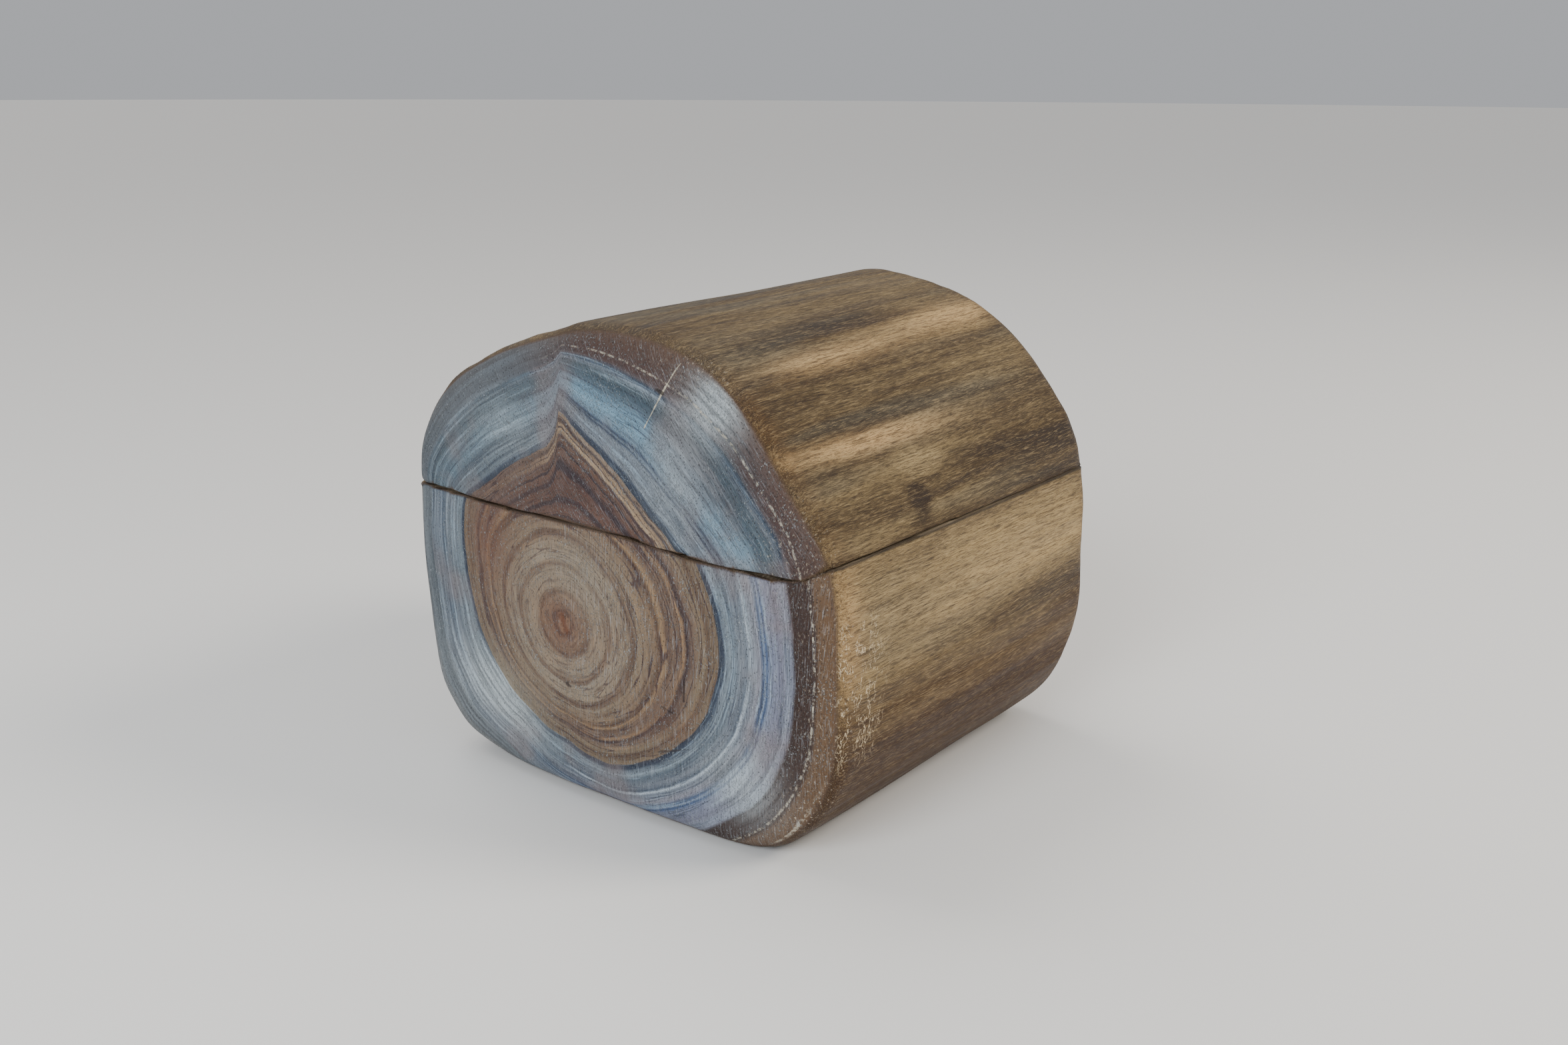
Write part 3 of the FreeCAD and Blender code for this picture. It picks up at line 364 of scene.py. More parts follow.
class Graph:
    """Short ways to write a material's nodes."""

    def __init__(self, name):
        self.material = bpy.data.materials.new(name)
        self.material.use_nodes = True
        self.tree = self.material.node_tree
        self.tree.nodes.clear()
        self.shader = self.node("ShaderNodeBsdfPrincipled")
        out = self.node("ShaderNodeOutputMaterial")
        self.tree.links.new(self.shader.outputs[0], out.inputs["Surface"])

    def node(self, kind, **settings):
        made = self.tree.nodes.new(kind)
        for key, value in settings.items():
            setattr(made, key, value)
        return made

    def along(self, place, axis):
        split = self.node("ShaderNodeSeparateXYZ")
        self.put(split.inputs[0], place)
        return split.outputs[axis]

    def put(self, socket, value):
        if isinstance(value, bpy.types.NodeSocket):
            self.tree.links.new(value, socket)
        elif isinstance(value, (tuple, list)) and len(value) == 3 and socket.type == "RGBA":
            socket.default_value = (*value, 1)
        else:
            socket.default_value = value

    def field(self, name):
        return self.node("ShaderNodeAttribute", attribute_name=name).outputs["Fac"]

    def place(self):
        return self.node("ShaderNodeTexCoord").outputs["Object"]

    def math(self, operation, a, b=0.0, c=0.0):
        made = self.node("ShaderNodeMath", operation=operation)
        for socket, value in zip(made.inputs, (a, b, c)):
            self.put(socket, value)
        return made.outputs[0]

    def times(self, first, *others):
        for other in others:
            first = self.math("MULTIPLY", first, other)
        return first

    def swayed(self, value, noise, amount):
        """The value, moved up and down by a noise that lies round 0.5."""
        return self.math("MULTIPLY_ADD", self.math("SUBTRACT", noise, 0.5), amount, value)

    def stretch(self, vector, scale, shift=(0, 0, 0)):
        made = self.node("ShaderNodeMapping")
        self.put(made.inputs["Vector"], vector)
        made.inputs["Scale"].default_value = scale
        made.inputs["Location"].default_value = shift
        return made.outputs[0]

    def vector(self, x, y, z):
        made = self.node("ShaderNodeCombineXYZ")
        for socket, value in zip(made.inputs, (x, y, z)):
            self.put(socket, value)
        return made.outputs[0]

    def noise(self, vector, scale, detail=3.0, roughness=0.5, distortion=0.0):
        made = self.node("ShaderNodeTexNoise")
        self.put(made.inputs["Vector"], vector)
        made.inputs["Scale"].default_value = scale
        made.inputs["Detail"].default_value = detail
        made.inputs["Roughness"].default_value = roughness
        made.inputs["Distortion"].default_value = distortion
        return made.outputs["Fac"]

    def specks(self, vector, scale, size):
        """Small round dots of about that share of their spacing."""
        made = self.node("ShaderNodeTexVoronoi")
        self.put(made.inputs["Vector"], vector)
        made.inputs["Scale"].default_value = scale
        return self.span(made.outputs["Distance"], size, size * 0.4)

    def span(self, value, start, full, least=0.0, most=1.0):
        """A smooth step: least at start and most at full, whichever of those two is larger."""
        made = self.node("ShaderNodeMapRange", interpolation_type="SMOOTHSTEP")
        for socket, number in zip(made.inputs, (value, start, full, least, most)):
            self.put(socket, number)
        return made.outputs["Result"]

    def span_mm(self, length, start, full):
        return self.span(length, start * MM, full * MM)

    def crossing(self, noise, start, full):
        """1 on the thin lines where a noise passes through 0.5."""
        return self.span(self.math("ABSOLUTE", self.math("SUBTRACT", noise, 0.5)), start, full)

    def ramp(self, value, stops):
        made = self.node("ShaderNodeValToRGB")
        self.put(made.inputs["Fac"], value)
        made.color_ramp.interpolation = "LINEAR"
        elements = made.color_ramp.elements
        while len(elements) < len(stops):
            elements.new(1.0)
        for element, (position, colour) in zip(elements, stops):
            element.position = position
            element.color = (*colour, 1)
        return made.outputs["Color"]

    def mix(self, share, a, b):
        made = self.node("ShaderNodeMix", data_type="RGBA")
        for key, value in (("Factor", share), ("A", a), ("B", b)):
            socket = [s for s in made.inputs if s.name == key and s.type in ("RGBA", "VALUE") and s.enabled][0]
            self.put(socket, value)
        return [s for s in made.outputs if s.type == "RGBA"][0]

    def blend(self, noise, start, full, first, second):
        """The first colour up to start, the second one from full on."""
        return self.mix(self.span(noise, start, full), first, second)

    def tinted(self, colour, noise, *tints, within=None):
        """A colour with tints over it: each tint is (where it starts, where it is full, strength, colour)."""
        for start, full, strength, tint in tints:
            share = self.span(noise, start, full, 0.0, strength)
            if within is not None:
                share = self.times(share, within)
            colour = self.mix(share, colour, tint)
        return colour

    def aged(self, colour, gamma, saturation, value):
        """Darker and richer, as wood is after years of light and handling."""
        deep = self.node("ShaderNodeGamma")
        self.put(deep.inputs["Color"], colour)
        deep.inputs["Gamma"].default_value = gamma
        rich = self.node("ShaderNodeHueSaturation")
        self.put(rich.inputs["Color"], deep.outputs[0])
        rich.inputs["Saturation"].default_value = saturation
        rich.inputs["Value"].default_value = value
        return rich.outputs[0]

    def bump(self, height, depth_mm):
        made = self.node("ShaderNodeBump")
        made.inputs["Distance"].default_value = depth_mm * MM
        self.put(made.inputs["Height"], height)
        return made.outputs["Normal"]

    def finish(self, colour, roughness, normal=None, **constants):
        self.put(self.shader.inputs["Base Color"], colour)
        self.put(self.shader.inputs["Roughness"], roughness)
        if normal is not None:
            self.put(self.shader.inputs["Normal"], normal)
        for key, value in constants.items():
            self.shader.inputs[key.replace("_", " ")].default_value = value
        return self.material


# ---------------------------------------------------------------- the log's mesh

def seam_height(points, normal, steps=60):
    """Height of the saw cut as a function of y, read off the base's sawn rim."""
    sawn = (normal[:, 2] > SAWN_LEVEL[0]) & (np.abs(points[:, 2] - SEAM) < CUT_WANDER)
    y, z = points[sawn, 1], points[sawn, 2]
    edges = np.linspace(y.min(), y.max(), steps)
    slot = np.digitize(y, edges)
    filled = [i for i in range(1, steps) if np.any(slot == i)]
    middles = [np.mean(y[slot == i]) for i in filled]
    heights = [np.median(z[slot == i]) for i in filled]
    return lambda at: np.interp(at, middles, heights)


def distance_to_skin(points, on_skin, wanted):
    """Distance from each wanted point to the nearest point of the skin; 0 for the others."""
    tree = KDTree(int(np.sum(on_skin)))
    for index, point in enumerate(points[on_skin]):
        tree.insert(point, index)
    tree.balance()
    distance = np.zeros(len(points))
    distance[wanted] = [tree.find(point)[2] for point in points[wanted]]
    return distance


def log_fields(mesh, skin, heart, cut_height):
    """Where each vertex lies in the wood: ring, direction from the pith, and what kind of surface it is on."""
    points, normal = coordinates(mesh), normals(mesh)
    angle, distance = around_pith(points)
    heart_radius = heart(angle)
    share = distance / heart_radius
    ring_radius = RING_RADIUS + (heart_radius - RING_RADIUS) * smooth(*ROUND_RINGS, share)
    bark_radius = np.maximum(skin(angle), heart_radius + LEAST_SAP)
    in_sap = np.clip((distance - heart_radius) / (bark_radius - heart_radius), 0, 1.2)
    ring = np.where(share < 1, np.minimum(distance / ring_radius, 1), 1 + in_sap)
    keep_field(mesh, "ring", ring)
    keep_field(mesh, "toward_back", np.cos(angle))
    keep_field(mesh, "toward_crown", np.sin(angle))

    depth = skin(angle) - distance
    end_depth = HALF_LENGTH - np.abs(points[:, 0])
    outside = np.maximum(smooth(*SKIN_DEPTH, depth), smooth(*END_DEPTH, end_depth))
    over_seam = points[:, 2] - cut_height(points[:, 1])
    sawn = smooth(*SAWN_LEVEL, np.abs(normal[:, 2])) * smooth(*SAWN_REACH, np.abs(over_seam))
    clear_skin = outside * (np.abs(over_seam) > CLEAR_OF_CUT) > 0.5
    sawn *= smooth(*FRESH_FROM_SKIN, distance_to_skin(points, clear_skin, sawn > 0))
    outside = outside * (1 - sawn)
    keep_field(mesh, "over_seam", over_seam)
    keep_field(mesh, "end_grain", smooth(0.52, 0.8, np.abs(normal[:, 0])))
    keep_field(mesh, "fresh", 1 - outside)
    return points, normal, outside, over_seam


def carve(mesh, points, normal, outside, over_seam):
    """Knife and sander work on the skin: long shallow facets, dents and low waves. The foot stays flat."""
    level = np.abs(normal[:, 2])
    tilted = smooth(0.15, 0.5, level) * smooth(0.98, 0.85, level)
    cut_edge = tilted * smooth(1.3, 0.6, np.abs(over_seam)) * outside
    points = points + normal * (CRISP * cut_edge)[:, None]
    side = smooth(0.8, 0.4, np.abs(normal[:, 0]))
    across = waves_of(points, *FACETS) + waves_of(points, *DENTS)
    lift = across * side + waves_of(points, *END_WAVES) * (1 - side)
    above_foot = outside * smooth(0.4, 4.0, points[:, 2])
    set_coordinates(mesh, points + normal * (lift * above_foot)[:, None])


def patches(points, spots):
    return sum(strength * spot(points, middle, radii) for middle, radii, strength in spots)


def paint_fields(mesh, points):
    """Large stains and streaks of the skin, where the wood has them."""
    on_ringed_end = smooth(*RINGED_END, points[:, 0])
    keep_field(mesh, "streak", patches(points, STREAKS))
    keep_field(mesh, "warm", patches(points, WARM))
    keep_field(mesh, "knot", patches(points, KNOT))
    for name, spots in (("blue", BLUE), ("pale", PALE), ("red", RED), ("rubbed", RUBBED)):
        keep_field(mesh, name, on_ringed_end * patches(points, spots))


# ---------------------------------------------------------------- the log's wood

def long_grain(g, place, lid):
    """Streaked skin along the sides: brown, olive grey and tan, with fine fibres."""
    bent = g.noise(g.stretch(place, (22, 60, 60)), 1.0, 2.0, 0.5)
    wavy = g.node("ShaderNodeVectorMath", operation="ADD")
    g.put(wavy.inputs[0], place)
    g.put(wavy.inputs[1], g.vector(0.0, g.times(bent, 0.0016), g.times(bent, 0.0024)))
    place = wavy.outputs[0]
    broad = g.noise(g.stretch(place, (9, 120, 120)), 1.0, 2.0, 0.5, 0.3)
    narrow = g.noise(g.stretch(place, (15, 420, 420)), 1.0, 2.0, 0.5, 0.1)
    tone = g.swayed(0.40 if lid else 0.60, broad, 1.1 if lid else 0.5)
    tone = g.swayed(tone, narrow, 0.75 if lid else 0.40)
    tone = g.math("MULTIPLY_ADD", g.field("streak"), 0.22, tone)
    colour = g.ramp(tone, SIDE_TINTS)
    grey = g.noise(g.stretch(place, (11, 105, 105), (3, 1, 2)), 1.0, 2.0, 0.5)
    olive = g.blend(narrow, 0.35, 0.65, *OLIVE)
    colour = g.tinted(colour, grey, (0.46, 0.64, 0.6 if lid else 0.3, olive))
    peach = g.blend(tone, 0.25, 0.75, *PEACH)
    colour = g.mix(g.times(g.field("warm"), 0.7), colour, peach)
    if not lid:
        foot = g.span_mm(g.swayed(g.along(place, "Z"), broad, 0.03), 44, 20)
        colour = g.mix(g.times(foot, 0.88), colour, FOOT_BROWN)
    from_middle = g.math("ABSOLUTE", g.along(place, "X"))
    near_end = g.span_mm(g.swayed(from_middle, narrow, 0.012), 42, 52)
    colour = g.mix(g.times(near_end, 0.6), colour, NEAR_END_BROWN)
    colour = g.tinted(colour, g.field("knot"), (0.2, 0.85, 0.75, KNOT_PALE), (-0.2, -0.9, 0.9, KNOT_DARK))
    fibre = g.noise(g.stretch(place, (130, 2300, 2300)), 1.0, 4.0, 0.74, 0.3)
    colour = g.tinted(colour, fibre, (0.49, 0.39, 0.55, FIBRE_DARK), (0.53, 0.64, 0.36, FIBRE_PALE))
    # Darker towards the saw cut, above it more than below.
    from_cut = g.math("ABSOLUTE", g.field("over_seam"))
    colour = g.tinted(colour, from_cut, (3.2, 0.3, 0.45 if lid else 0.12, NEAR_CUT_BROWN))
    if not lid:
        colour = g.mix(g.times(foot, 0.62), colour, FOOT_SHADE)
        colour = g.mix(g.times(scratches(g, place), 0.85), colour, SCRATCH)
    hair = g.noise(g.stretch(place, (420, 6200, 6200)), 1.0, 2.0, 0.6, 0.3)
    colour = g.tinted(colour, hair, (0.47, 0.35, 0.55, HAIR_DARK), (0.54, 0.66, 0.34, HAIR_PALE))
    return g.aged(colour, 1.14, 1.20, 0.94 if lid else 1.20), g.math("ADD", fibre, hair), narrow


def scratches(g, place):
    """1 on short fine scratches: low on the front, from the ringed end's edge inwards."""
    lines = g.crossing(g.noise(g.stretch(place, (900, 420, 420)), 1.0, 2.0, 0.6), 0.030, 0.012)
    pieces = g.span(g.noise(place, 300.0, 2.0, 0.5), 0.46, 0.54)
    x, y, z = (g.along(place, axis) for axis in "XYZ")
    across = g.times(g.span_mm(x, -31, -42), g.span_mm(y, -30, -40))
    where = g.times(g.span_mm(z, 57, 51), g.span_mm(z, 20, 30), across)
    return g.times(lines, pieces, where)


def ring_noise(g, ring, across, around, detail, roughness):
    """Noise drawn out into lines along the rings, with one scale across them and one round the pith."""
    back, crown = g.field("toward_back"), g.field("toward_crown")
    drawn = g.vector(g.times(ring, across), g.times(back, around), g.times(crown, around))
    return g.noise(drawn, 1.0, detail, roughness)


def contour_lines(g, ring, across, width):
    """Thin unbroken lines that run with the rings, as far apart as a noise makes them."""
    return g.crossing(ring_noise(g, ring, across, 0.9, 1.0, 0.4), width, width * 0.3)


def thin_line(g, outward, middle, half_width):
    inner = g.span(outward, middle - 1.6 * half_width, middle - 0.6 * half_width)
    outer = g.span(outward, middle + 1.6 * half_width, middle + 0.6 * half_width)
    return g.times(inner, outer)


def sapwood(g, place, ring, lid):
    """Blue-grey bands that follow the rings, out to the dark band under the bark."""
    back, crown = g.field("toward_back"), g.field("toward_crown")
    outward = g.math("SUBTRACT", ring, 1.0)
    sap = g.ramp(outward, LID_SAP_TINTS if lid else BASE_SAP_TINTS)
    lines = ring_noise(g, ring, 26.0, 1.6, 4.0, 0.68)
    in_band = g.span(outward, 0.67, 0.70) if lid else g.span(outward, 0.61, 0.635)
    pale_wood = g.math("SUBTRACT", 1.0, in_band)
    plain = g.blend(lines, 0.35, 0.65, SAP_PLAIN, LID_SAP_PLAIN if lid else BASE_SAP_PLAIN)
    sap = g.mix(g.times(g.span(back, -0.15, 0.35), 0.7, g.span(outward, 0.02, 0.08)), sap, plain)
    sap = g.tinted(sap, lines, (0.48, 0.32, 0.55, SAP_DARK), (0.53, 0.70, 0.5, SAP_LIGHT), within=pale_wood)
    thin = contour_lines(g, ring, 34.0, 0.022)
    sap = g.mix(g.times(thin, 0.6, pale_wood), sap, SAP_LINE)
    sap = g.tinted(sap, g.noise(place, 55.0, 3.0, 0.55), (0.47, 0.66, 0.5, SAP_STAIN), within=pale_wood)
    blue = g.times(g.field("blue"), g.span(lines, 0.60, 0.40, 0.2, 0.8))
    sap = g.mix(blue, sap, SAP_BLUE)
    pale = g.blend(lines, 0.35, 0.6, *SAP_PALE)
    sap = g.mix(g.math("MINIMUM", g.times(g.field("pale"), 0.75), 0.85), sap, pale)
    # A thin dashed pale line runs in the band, and a second one outside it low down.
    line = thin_line(g, outward, 0.745 if lid else 0.765, 0.007)
    if not lid:
        low_down = g.span(crown, -0.30, -0.45)
        line = g.math("MAXIMUM", line, g.times(thin_line(g, outward, 0.90, 0.010), low_down))
    dashes = g.span(g.noise(place, 900.0, 3.0, 0.7), 0.44, 0.60)
    toward_front = g.span(back, 0.2, -0.2, 0.0, 0.75)
    return g.mix(g.times(toward_front, dashes, line), sap, DASHED_LINE), lines


def heartwood(g, place, ring, lid):
    """Brown wood round the pith, each year ending in a darker ring."""
    back = g.field("toward_back")
    heart = g.ramp(ring, LID_HEART_TINTS if lid else BASE_HEART_TINTS)
    inner = g.span(ring, 0.90, 0.80) if lid else 1.0
    ground = LID_HEART_GROUND if lid else BASE_HEART_GROUND
    heart = g.tinted(heart, g.noise(place, 60.0, 3.0, 0.55), (0.42, 0.68, 0.4, ground), within=inner)
    if lid:
        heart = g.tinted(heart, back, (-0.15, 0.3, 0.8, LID_HEART_BACK))
    lines = ring_noise(g, ring, 40.0, 1.5, 3.0, 0.62)
    light_share = 0.25 if lid else 0.45
    heart = g.tinted(heart, lines, (0.50, 0.34, 0.55, HEART_DARK), (0.56, 0.74, light_share, HEART_LIGHT))
    thin = contour_lines(g, ring, 30.0, 0.022)
    heart = g.mix(g.times(thin, g.span(ring, 0.15, 0.75, 0.25, 0.8)), heart, HEART_LINE)
    if lid:
        for middle, half_width in LID_HEART_LINES:
            share = g.times(thin_line(g, ring, middle, half_width), g.span(back, 0.9, 0.1, 0.2, 0.75))
            heart = g.mix(share, heart, LID_HEART_LINE)
    heart = g.mix(g.times(g.field("red"), 0.6, inner), heart, g.mix(lines, *HEART_RED))
    heart = g.mix(g.times(g.field("pale"), 0.5), heart, HEART_PALE)
    return heart, lines


def end_grain(g, place, lid):
    """Growth rings: brown heartwood, then blue-grey sapwood and a dark band under the bark."""
    wobble = g.times(g.math("SUBTRACT", g.noise(place, 70.0, 2.0, 0.5), 0.5), 0.045)
    jitter = g.times(g.math("SUBTRACT", g.noise(place, 700.0, 3.0, 0.6), 0.5), 0.010)
    ring = g.math("ADD", g.field("ring"), g.math("ADD", wobble, jitter))
    heart, heart_lines = heartwood(g, place, ring, lid)
    sap, sap_lines = sapwood(g, place, ring, lid)
    colour = g.blend(ring, 0.992, 1.0, heart, sap)

    pores = g.specks(place, 1500.0, 0.26)
    cloud = g.noise(place, 130.0, 3.0, 0.6)
    colour = g.mix(g.times(pores, g.span(cloud, 0.4, 0.65, 0.05, 0.5)), colour, PORE)
    # Painted glints: pale specks of highlight where fibre ends would catch the light.
    painted_glints = g.span(g.noise(g.stretch(place, (1800, 2800, 2100)), 1.0, 3.0, 0.7), 0.54, 0.64)
    painted_glints = g.times(painted_glints, g.span(cloud, 0.62, 0.38, 0.10, 0.42))
    colour = g.mix(painted_glints, colour, PAINTED_GLINT)
    # Fine ridges of the saw and the sander: real relief in the bump, with painted sheen and painted shade as
    # pale and dark streaks on them, strongest towards the front.
    turned = g.node("ShaderNodeVectorRotate", rotation_type="X_AXIS")
    g.put(turned.inputs["Vector"], place)
    turned.inputs["Angle"].default_value = math.radians(38 if lid else -4)
    ridges = g.noise(g.stretch(turned.outputs[0], (1, 3400, 260)), 1.0, 2.0, 0.55, 0.15)
    near_front = g.span(g.field("toward_back"), 0.3, -0.5, 0.35, 1.0)
    colour = g.tinted(colour, ridges, (0.54, 0.74, 0.32, PAINTED_RIDGE_SHEEN), (0.46, 0.28, 0.36, PAINTED_RIDGE_SHADE),
                      within=near_front)
    on_ringed_end = g.span_mm(g.along(place, "X"), 0, -30)
    for start, end, half_width, strength, tint in LID_MARKS if lid else BASE_MARKS:
        share = g.times(near_segment(g, place, start, end, half_width), strength, on_ringed_end)
        colour = g.mix(share, colour, tint)
    colour = g.aged(colour, 1.25, 1.14, 0.97 if lid else 1.13)
    ring_lines = g.blend(ring, 0.99, 1.0, heart_lines, sap_lines)
    height = g.math("ADD", g.times(ring_lines, 0.5), g.times(ridges, 0.9))
    height = g.math("SUBTRACT", g.math("ADD", height, painted_glints), g.times(pores, 0.4))
    return colour, height


def near_segment(g, place, start, end, half_width):
    """1 near a short line across the grain, from start to end (y, z), with ragged edges."""
    flat = g.node("ShaderNodeVectorMath", operation="MULTIPLY")
    g.put(flat.inputs[0], place)
    flat.inputs[1].default_value = (0, 1 / MM, 1 / MM)
    offset = g.node("ShaderNodeVectorMath", operation="SUBTRACT")
    g.put(offset.inputs[0], flat.outputs[0])
    offset.inputs[1].default_value = (0, *start)
    run = Vector((0, end[0] - start[0], end[1] - start[1]))
    along = g.node("ShaderNodeVectorMath", operation="DOT_PRODUCT")
    g.put(along.inputs[0], offset.outputs[0])
    along.inputs[1].default_value = run / run.length_squared
    held = g.math("MINIMUM", g.math("MAXIMUM", along.outputs["Value"], 0.0), 1.0)
    nearest = g.node("ShaderNodeVectorMath", operation="SCALE")
    nearest.inputs[0].default_value = run
    g.put(nearest.inputs["Scale"], held)
    gap = g.node("ShaderNodeVectorMath", operation="DISTANCE")
    g.put(gap.inputs[0], offset.outputs[0])
    g.put(gap.inputs[1], nearest.outputs[0])
    ragged = g.math("MULTIPLY_ADD", g.noise(place, 420.0, 2.0, 0.5), 2.2 * half_width, -0.8 * half_width)
    return g.span(g.math("ADD", gap.outputs["Value"], ragged), half_width, half_width * 0.4)


def fresh_grain(g, place):
    """Wood inside the cuts: cleaner and warmer, with the rings cut lengthwise."""
    ring = g.swayed(g.field("ring"), g.noise(g.stretch(place, (14, 60, 60)), 1.0, 3.0, 0.5), 0.16)
    year = g.math("FRACT", g.times(ring, 7.0))
    heart = g.ramp(year, [(0.0, (0.42, 0.29, 0.17)), (0.6, (0.36, 0.235, 0.135)),
                          (0.92, (0.215, 0.125, 0.068)), (1.0, (0.40, 0.275, 0.16))])
    pale = g.ramp(year, [(0.0, (0.50, 0.40, 0.27)), (0.7, (0.45, 0.35, 0.23)), (0.95, (0.33, 0.245, 0.16)),
                         (1.0, (0.49, 0.39, 0.26))])
    colour = g.blend(ring, 0.97, 1.03, heart, pale)
    fibre = g.noise(g.stretch(place, (60, 2000, 2000)), 1.0, 3.0, 0.6, 0.2)
    return g.tinted(colour, fibre, (0.55, 0.32, 0.4, (0.15, 0.09, 0.05))), fibre


def log_wood(name, lid):
    g = Graph(name)
    place = g.place()
    side, fibre, narrow = long_grain(g, place, lid)
    end, relief = end_grain(g, place, lid)
    fresh, fresh_fibre = fresh_grain(g, place)
    end_share = g.field("end_grain")
    # The fibre is a sum of two noises, so it lies round 1.
    ragged = g.math("MULTIPLY_ADD", g.math("SUBTRACT", fibre, 1.0), 0.3, end_share)
    is_end = g.span(ragged, 0.3, 0.62)
    colour = g.mix(is_end, side, end)
    # Painted shadow: a near-black line along the saw cut, where shade falls into the gap between lid and base.
    colour = g.tinted(colour, g.math("ABSOLUTE", g.field("over_seam")), (0.65, 0.15, 0.8, SEAM_SHADOW_BLACK))
    # The rim of each end is darker, and rubbed to pale flecks where hands and the table touch it.
    rim = g.times(g.span(end_share, 0.02, 0.3), g.span(end_share, 0.95, 0.5), 0.6)
    colour = g.mix(rim, colour, RIM_BROWN)
    flecks = g.span(g.noise(g.stretch(place, (900, 2400, 1500)), 1.0, 3.0, 0.7), 0.58, 0.68)
    colour = g.mix(g.times(flecks, g.field("rubbed"), 0.55), colour, RUBBED_PALE)
    colour = g.mix(g.field("fresh"), colour, fresh)
    height = g.mix(g.field("fresh"), g.mix(is_end, fibre, relief), fresh_fibre)
    rough = g.span(narrow, 0.3, 0.7, 0.46, 0.66)
    return g.finish(colour, rough, g.bump(height, 0.45), Specular_IOR_Level=0.35)


def make_logs():
    """Both halves, remeshed from the frame, carved and painted with their wood's fields."""
    halves = (("base_log", "base", "base_wood", BASE_HEART), ("lid_log", "lid", "lid_wood", LID_HEART))
    skin = skin_radius(np.concatenate([coordinates(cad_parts[node].data) for node, *_ in halves]))
    pieces = {node: refined_copy(node, f"{node}_carved", LOG_VOXEL, LOG_WEAR) for node, *_ in halves}
    base = pieces["base_log"].data
    cut_height = seam_height(coordinates(base), normals(base))
    for node, body, slot, outline in halves:
        piece = pieces[node]
        points, normal, outside, over_seam = log_fields(piece.data, skin, outline_radius(outline), cut_height)
        paint_fields(piece.data, points)
        carve(piece.data, points, normal, outside, over_seam)
        piece.data.materials.append(log_wood(f"{node}_grain", node == "lid_log"))
        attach(piece, body)
        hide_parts(node)


# ---------------------------------------------------------------- hardware and linings

def brass():
    g = Graph("aged_brass")
    place = g.place()
    cloud = g.noise(place, 260.0, 4.0, 0.6)
    brushed = g.noise(g.stretch(place, (300, 5200, 5200)), 1.0, 3.0, 0.6)
    colour = g.blend(cloud, 0.35, 0.7, (0.62, 0.42, 0.16), (0.80, 0.60, 0.30))
    colour = g.tinted(colour, cloud, (0.58, 0.75, 0.5, (0.26, 0.17, 0.08)))
    rough = g.span(brushed, 0.3, 0.7, 0.24, 0.42)
    return g.finish(colour, rough, g.bump(brushed, 0.02), Metallic=1.0)


def steel():
    g = Graph("ground_steel")
    turned = g.noise(g.stretch(g.place(), (4200, 500, 500)), 1.0, 3.0, 0.6)
    colour = g.blend(turned, 0.3, 0.7, (0.50, 0.50, 0.52), (0.66, 0.66, 0.67))
    return g.finish(colour, g.span(turned, 0.3, 0.7, 0.18, 0.34), g.bump(turned, 0.012), Metallic=1.0)


def nickel():
    g = Graph("nickel_plate")
    spots = g.noise(g.place(), 900.0, 3.0, 0.6)
    colour = g.blend(spots, 0.4, 0.7, (0.70, 0.69, 0.67), (0.55, 0.54, 0.52))
    return g.finish(colour, g.span(spots, 0.3, 0.7, 0.1, 0.22), Metallic=1.0)


def plain_wood(name, light, dark):
    """Planed straight-grained wood for the lock block and the dowels."""
    g = Graph(name)
    place = g.place()
    bands = g.noise(g.stretch(place, (14, 240, 420)), 1.0, 3.0, 0.55, 0.4)
    fibre = g.noise(g.stretch(place, (90, 2600, 2600)), 1.0, 3.0, 0.6)
    colour = g.blend(bands, 0.3, 0.7, dark, light)
    darker = tuple(0.45 * c for c in dark)
    colour = g.tinted(colour, fibre, (0.5, 0.3, 0.5, darker))
    return g.finish(colour, g.span(fibre, 0.3, 0.7, 0.5, 0.68), g.bump(fibre, 0.08))


def felt():
    g = Graph("wool_felt")
    place = g.place()
    fuzz = g.noise(place, 2600.0, 4.0, 0.7)
    matted = g.noise(place, 520.0, 3.0, 0.6, 0.6)
    colour = g.blend(matted, 0.3, 0.7, (0.045, 0.070, 0.045), (0.090, 0.125, 0.080))
    colour = g.tinted(colour, fuzz, (0.58, 0.72, 0.5, (0.20, 0.25, 0.17)))
    height = g.math("ADD", fuzz, g.times(matted, 0.8))
    return g.finish(colour, 0.95, g.bump(height, 0.25), Sheen_Weight=0.4, Sheen_Roughness=0.5)


def dress(nodes, material):
    for node in nodes:
        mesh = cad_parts[node].data
        mesh.materials.clear()
        mesh.materials.append(material)


def make_hardware():
    sides = ("left", "right")
    leaves = [f"hinge_leaf_{half}_{side}" for half in ("base", "lid") for side in sides]
    screws = ["hinge_screws_base", "hinge_screws_lid", "keeper_screws", "lock_block_screws"]
    dress([*leaves, "keeper", *screws], brass())
    dress([f"{pin}_pin_{side}" for pin in ("hinge", "lock") for side in sides], steel())
    dress(["keeper_magnet"], nickel())
    dress(["lock_block"], plain_wood("lock_block_wood", (0.50, 0.35, 0.20), (0.30, 0.19, 0.10)))
    dress([f"bore_plug_{s}" for s in sides], plain_wood("dowel_wood", (0.62, 0.48, 0.31), (0.48, 0.35, 0.21)))


def make_felt(node, body, up, material):
    """A cut sheet of felt: softly rounded edges, a matted face, a little uneven."""
    piece = refined_copy(node, f"{node}_sheet", FELT_VOXEL, FELT_WEAR)
    points, normal = coordinates(piece.data), normals(piece.data)
    face = smooth(0.5, 0.9, normal[:, 2] * up)
    swell = (waves_of(points, *FELT_WAVES) - FELT_WAVES[2]) * face
    set_coordinates(piece.data, points + np.outer(swell, (0, 0, up)))
    piece.data.materials.append(material)
    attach(piece, body)
    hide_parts(node)


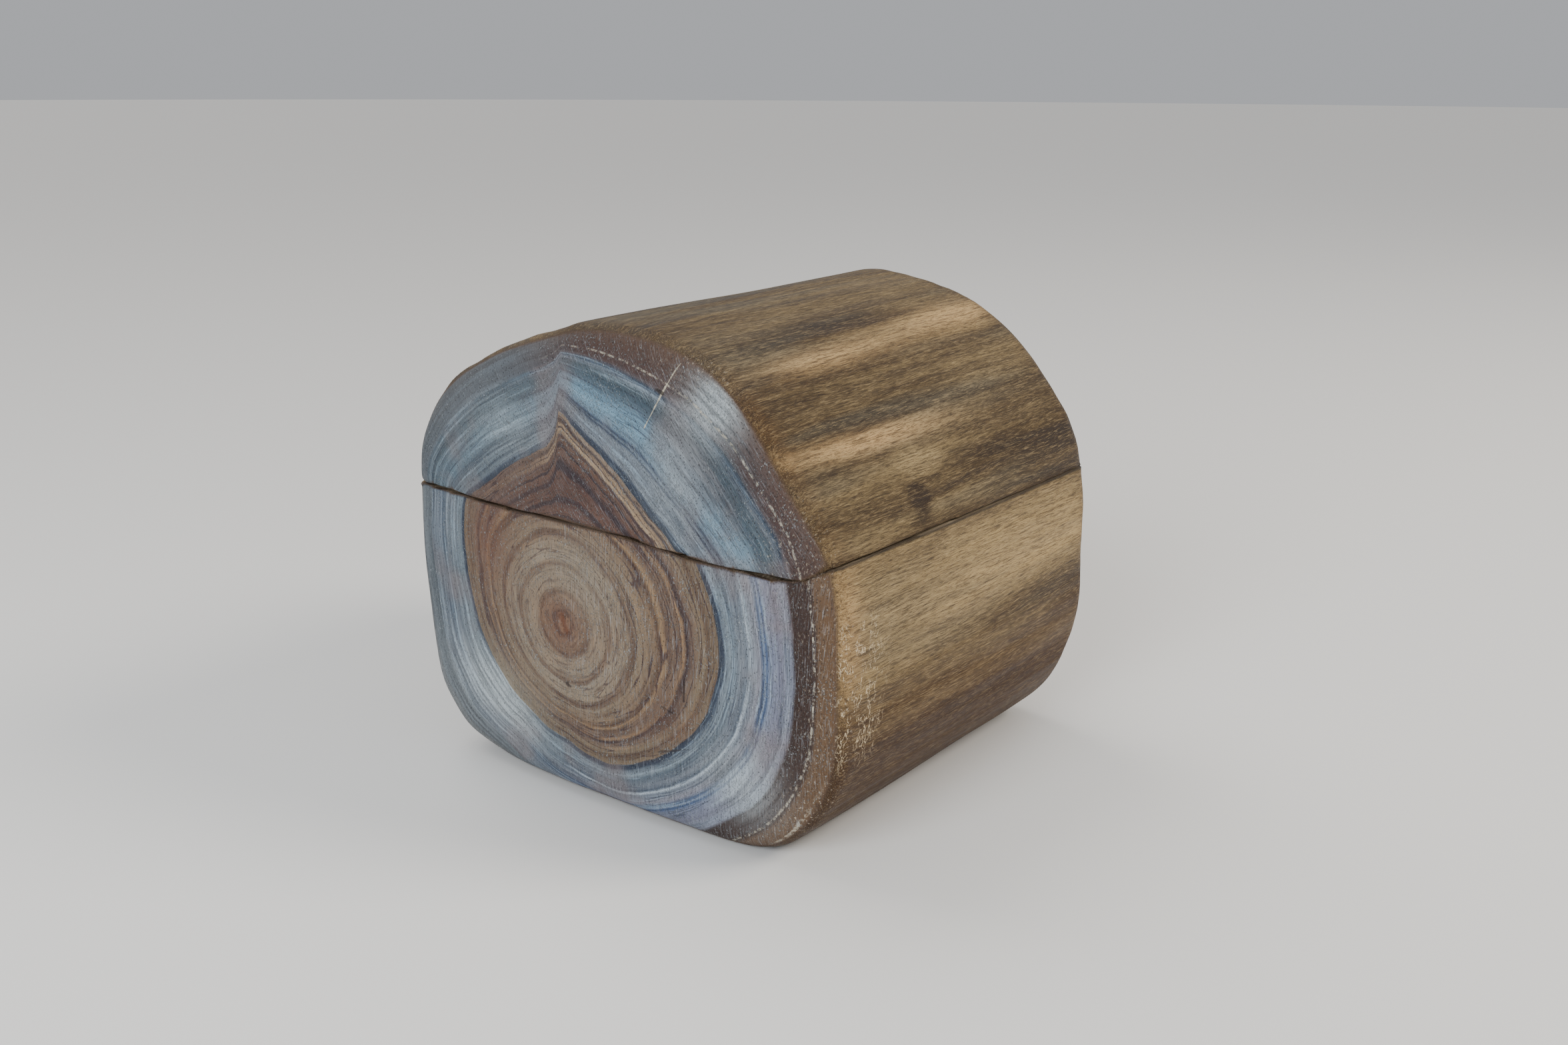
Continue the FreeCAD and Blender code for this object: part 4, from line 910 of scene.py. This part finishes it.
def make_felts():
    wool = felt()
    make_felt("floor_felt", "base", 1, wool)
    make_felt("lid_felt", "lid", -1, wool)


# ---------------------------------------------------------------- the studio

def make_camera():
    data = bpy.data.cameras.new("camera")
    data.lens = CAMERA_LENS
    data.sensor_width = CAMERA_SENSOR
    data.clip_start = 0.01
    camera = bpy.data.objects.new("camera", data)
    bpy.context.scene.collection.objects.link(camera)
    turn = (Matrix.Rotation(CAMERA_HEADING, 4, "Z") @ Matrix.Rotation(math.pi / 2 + CAMERA_PITCH, 4, "X")
            @ Matrix.Rotation(CAMERA_ROLL, 4, "Z"))
    camera.matrix_world = Matrix.Translation(CAMERA_PLACE) @ turn
    bpy.context.scene.camera = camera


def soft_light(name, place, size, power, colour):
    data = bpy.data.lights.new(name, "AREA")
    data.shape = "DISK"
    data.size = size
    data.energy = power
    data.color = colour
    light = bpy.data.objects.new(name, data)
    bpy.context.scene.collection.objects.link(light)
    light.location = place
    light.rotation_euler = (LIT_POINT - Vector(place)).to_track_quat("-Z", "Y").to_euler()


def make_floor():
    mesh = bpy.data.meshes.new("studio_floor")
    turns = np.linspace(0, 2 * math.pi, FLOOR_SIDES, endpoint=False)
    rim = [(FLOOR_RADIUS * math.cos(a), FLOOR_RADIUS * math.sin(a), 0) for a in turns]
    mesh.from_pydata(rim, [], [list(range(FLOOR_SIDES))])
    mesh.materials.append(Graph("studio_floor").finish(FLOOR_COLOUR, 0.6))
    floor = bpy.data.objects.new("studio_floor", mesh)
    bpy.context.scene.collection.objects.link(floor)


def make_lights():
    world = bpy.data.worlds.new("studio_air")
    bpy.context.scene.world = world
    world.use_nodes = True
    air = world.node_tree.nodes["Background"]
    air.inputs["Color"].default_value = (*AIR_COLOUR, 1)
    air.inputs["Strength"].default_value = AIR_STRENGTH
    for lamp in LAMPS:
        soft_light(*lamp)
    data = bpy.data.lights.new("overhead", "SUN")
    data.energy = OVERHEAD_STRENGTH
    data.angle = OVERHEAD_SPREAD
    data.color = OVERHEAD_COLOUR
    overhead = bpy.data.objects.new("overhead", data)
    bpy.context.scene.collection.objects.link(overhead)
    overhead.rotation_euler = (-OVERHEAD_FROM).to_track_quat("-Z", "Y").to_euler()


make_camera()
make_floor()
make_lights()
make_logs()
make_hardware()
make_felts()
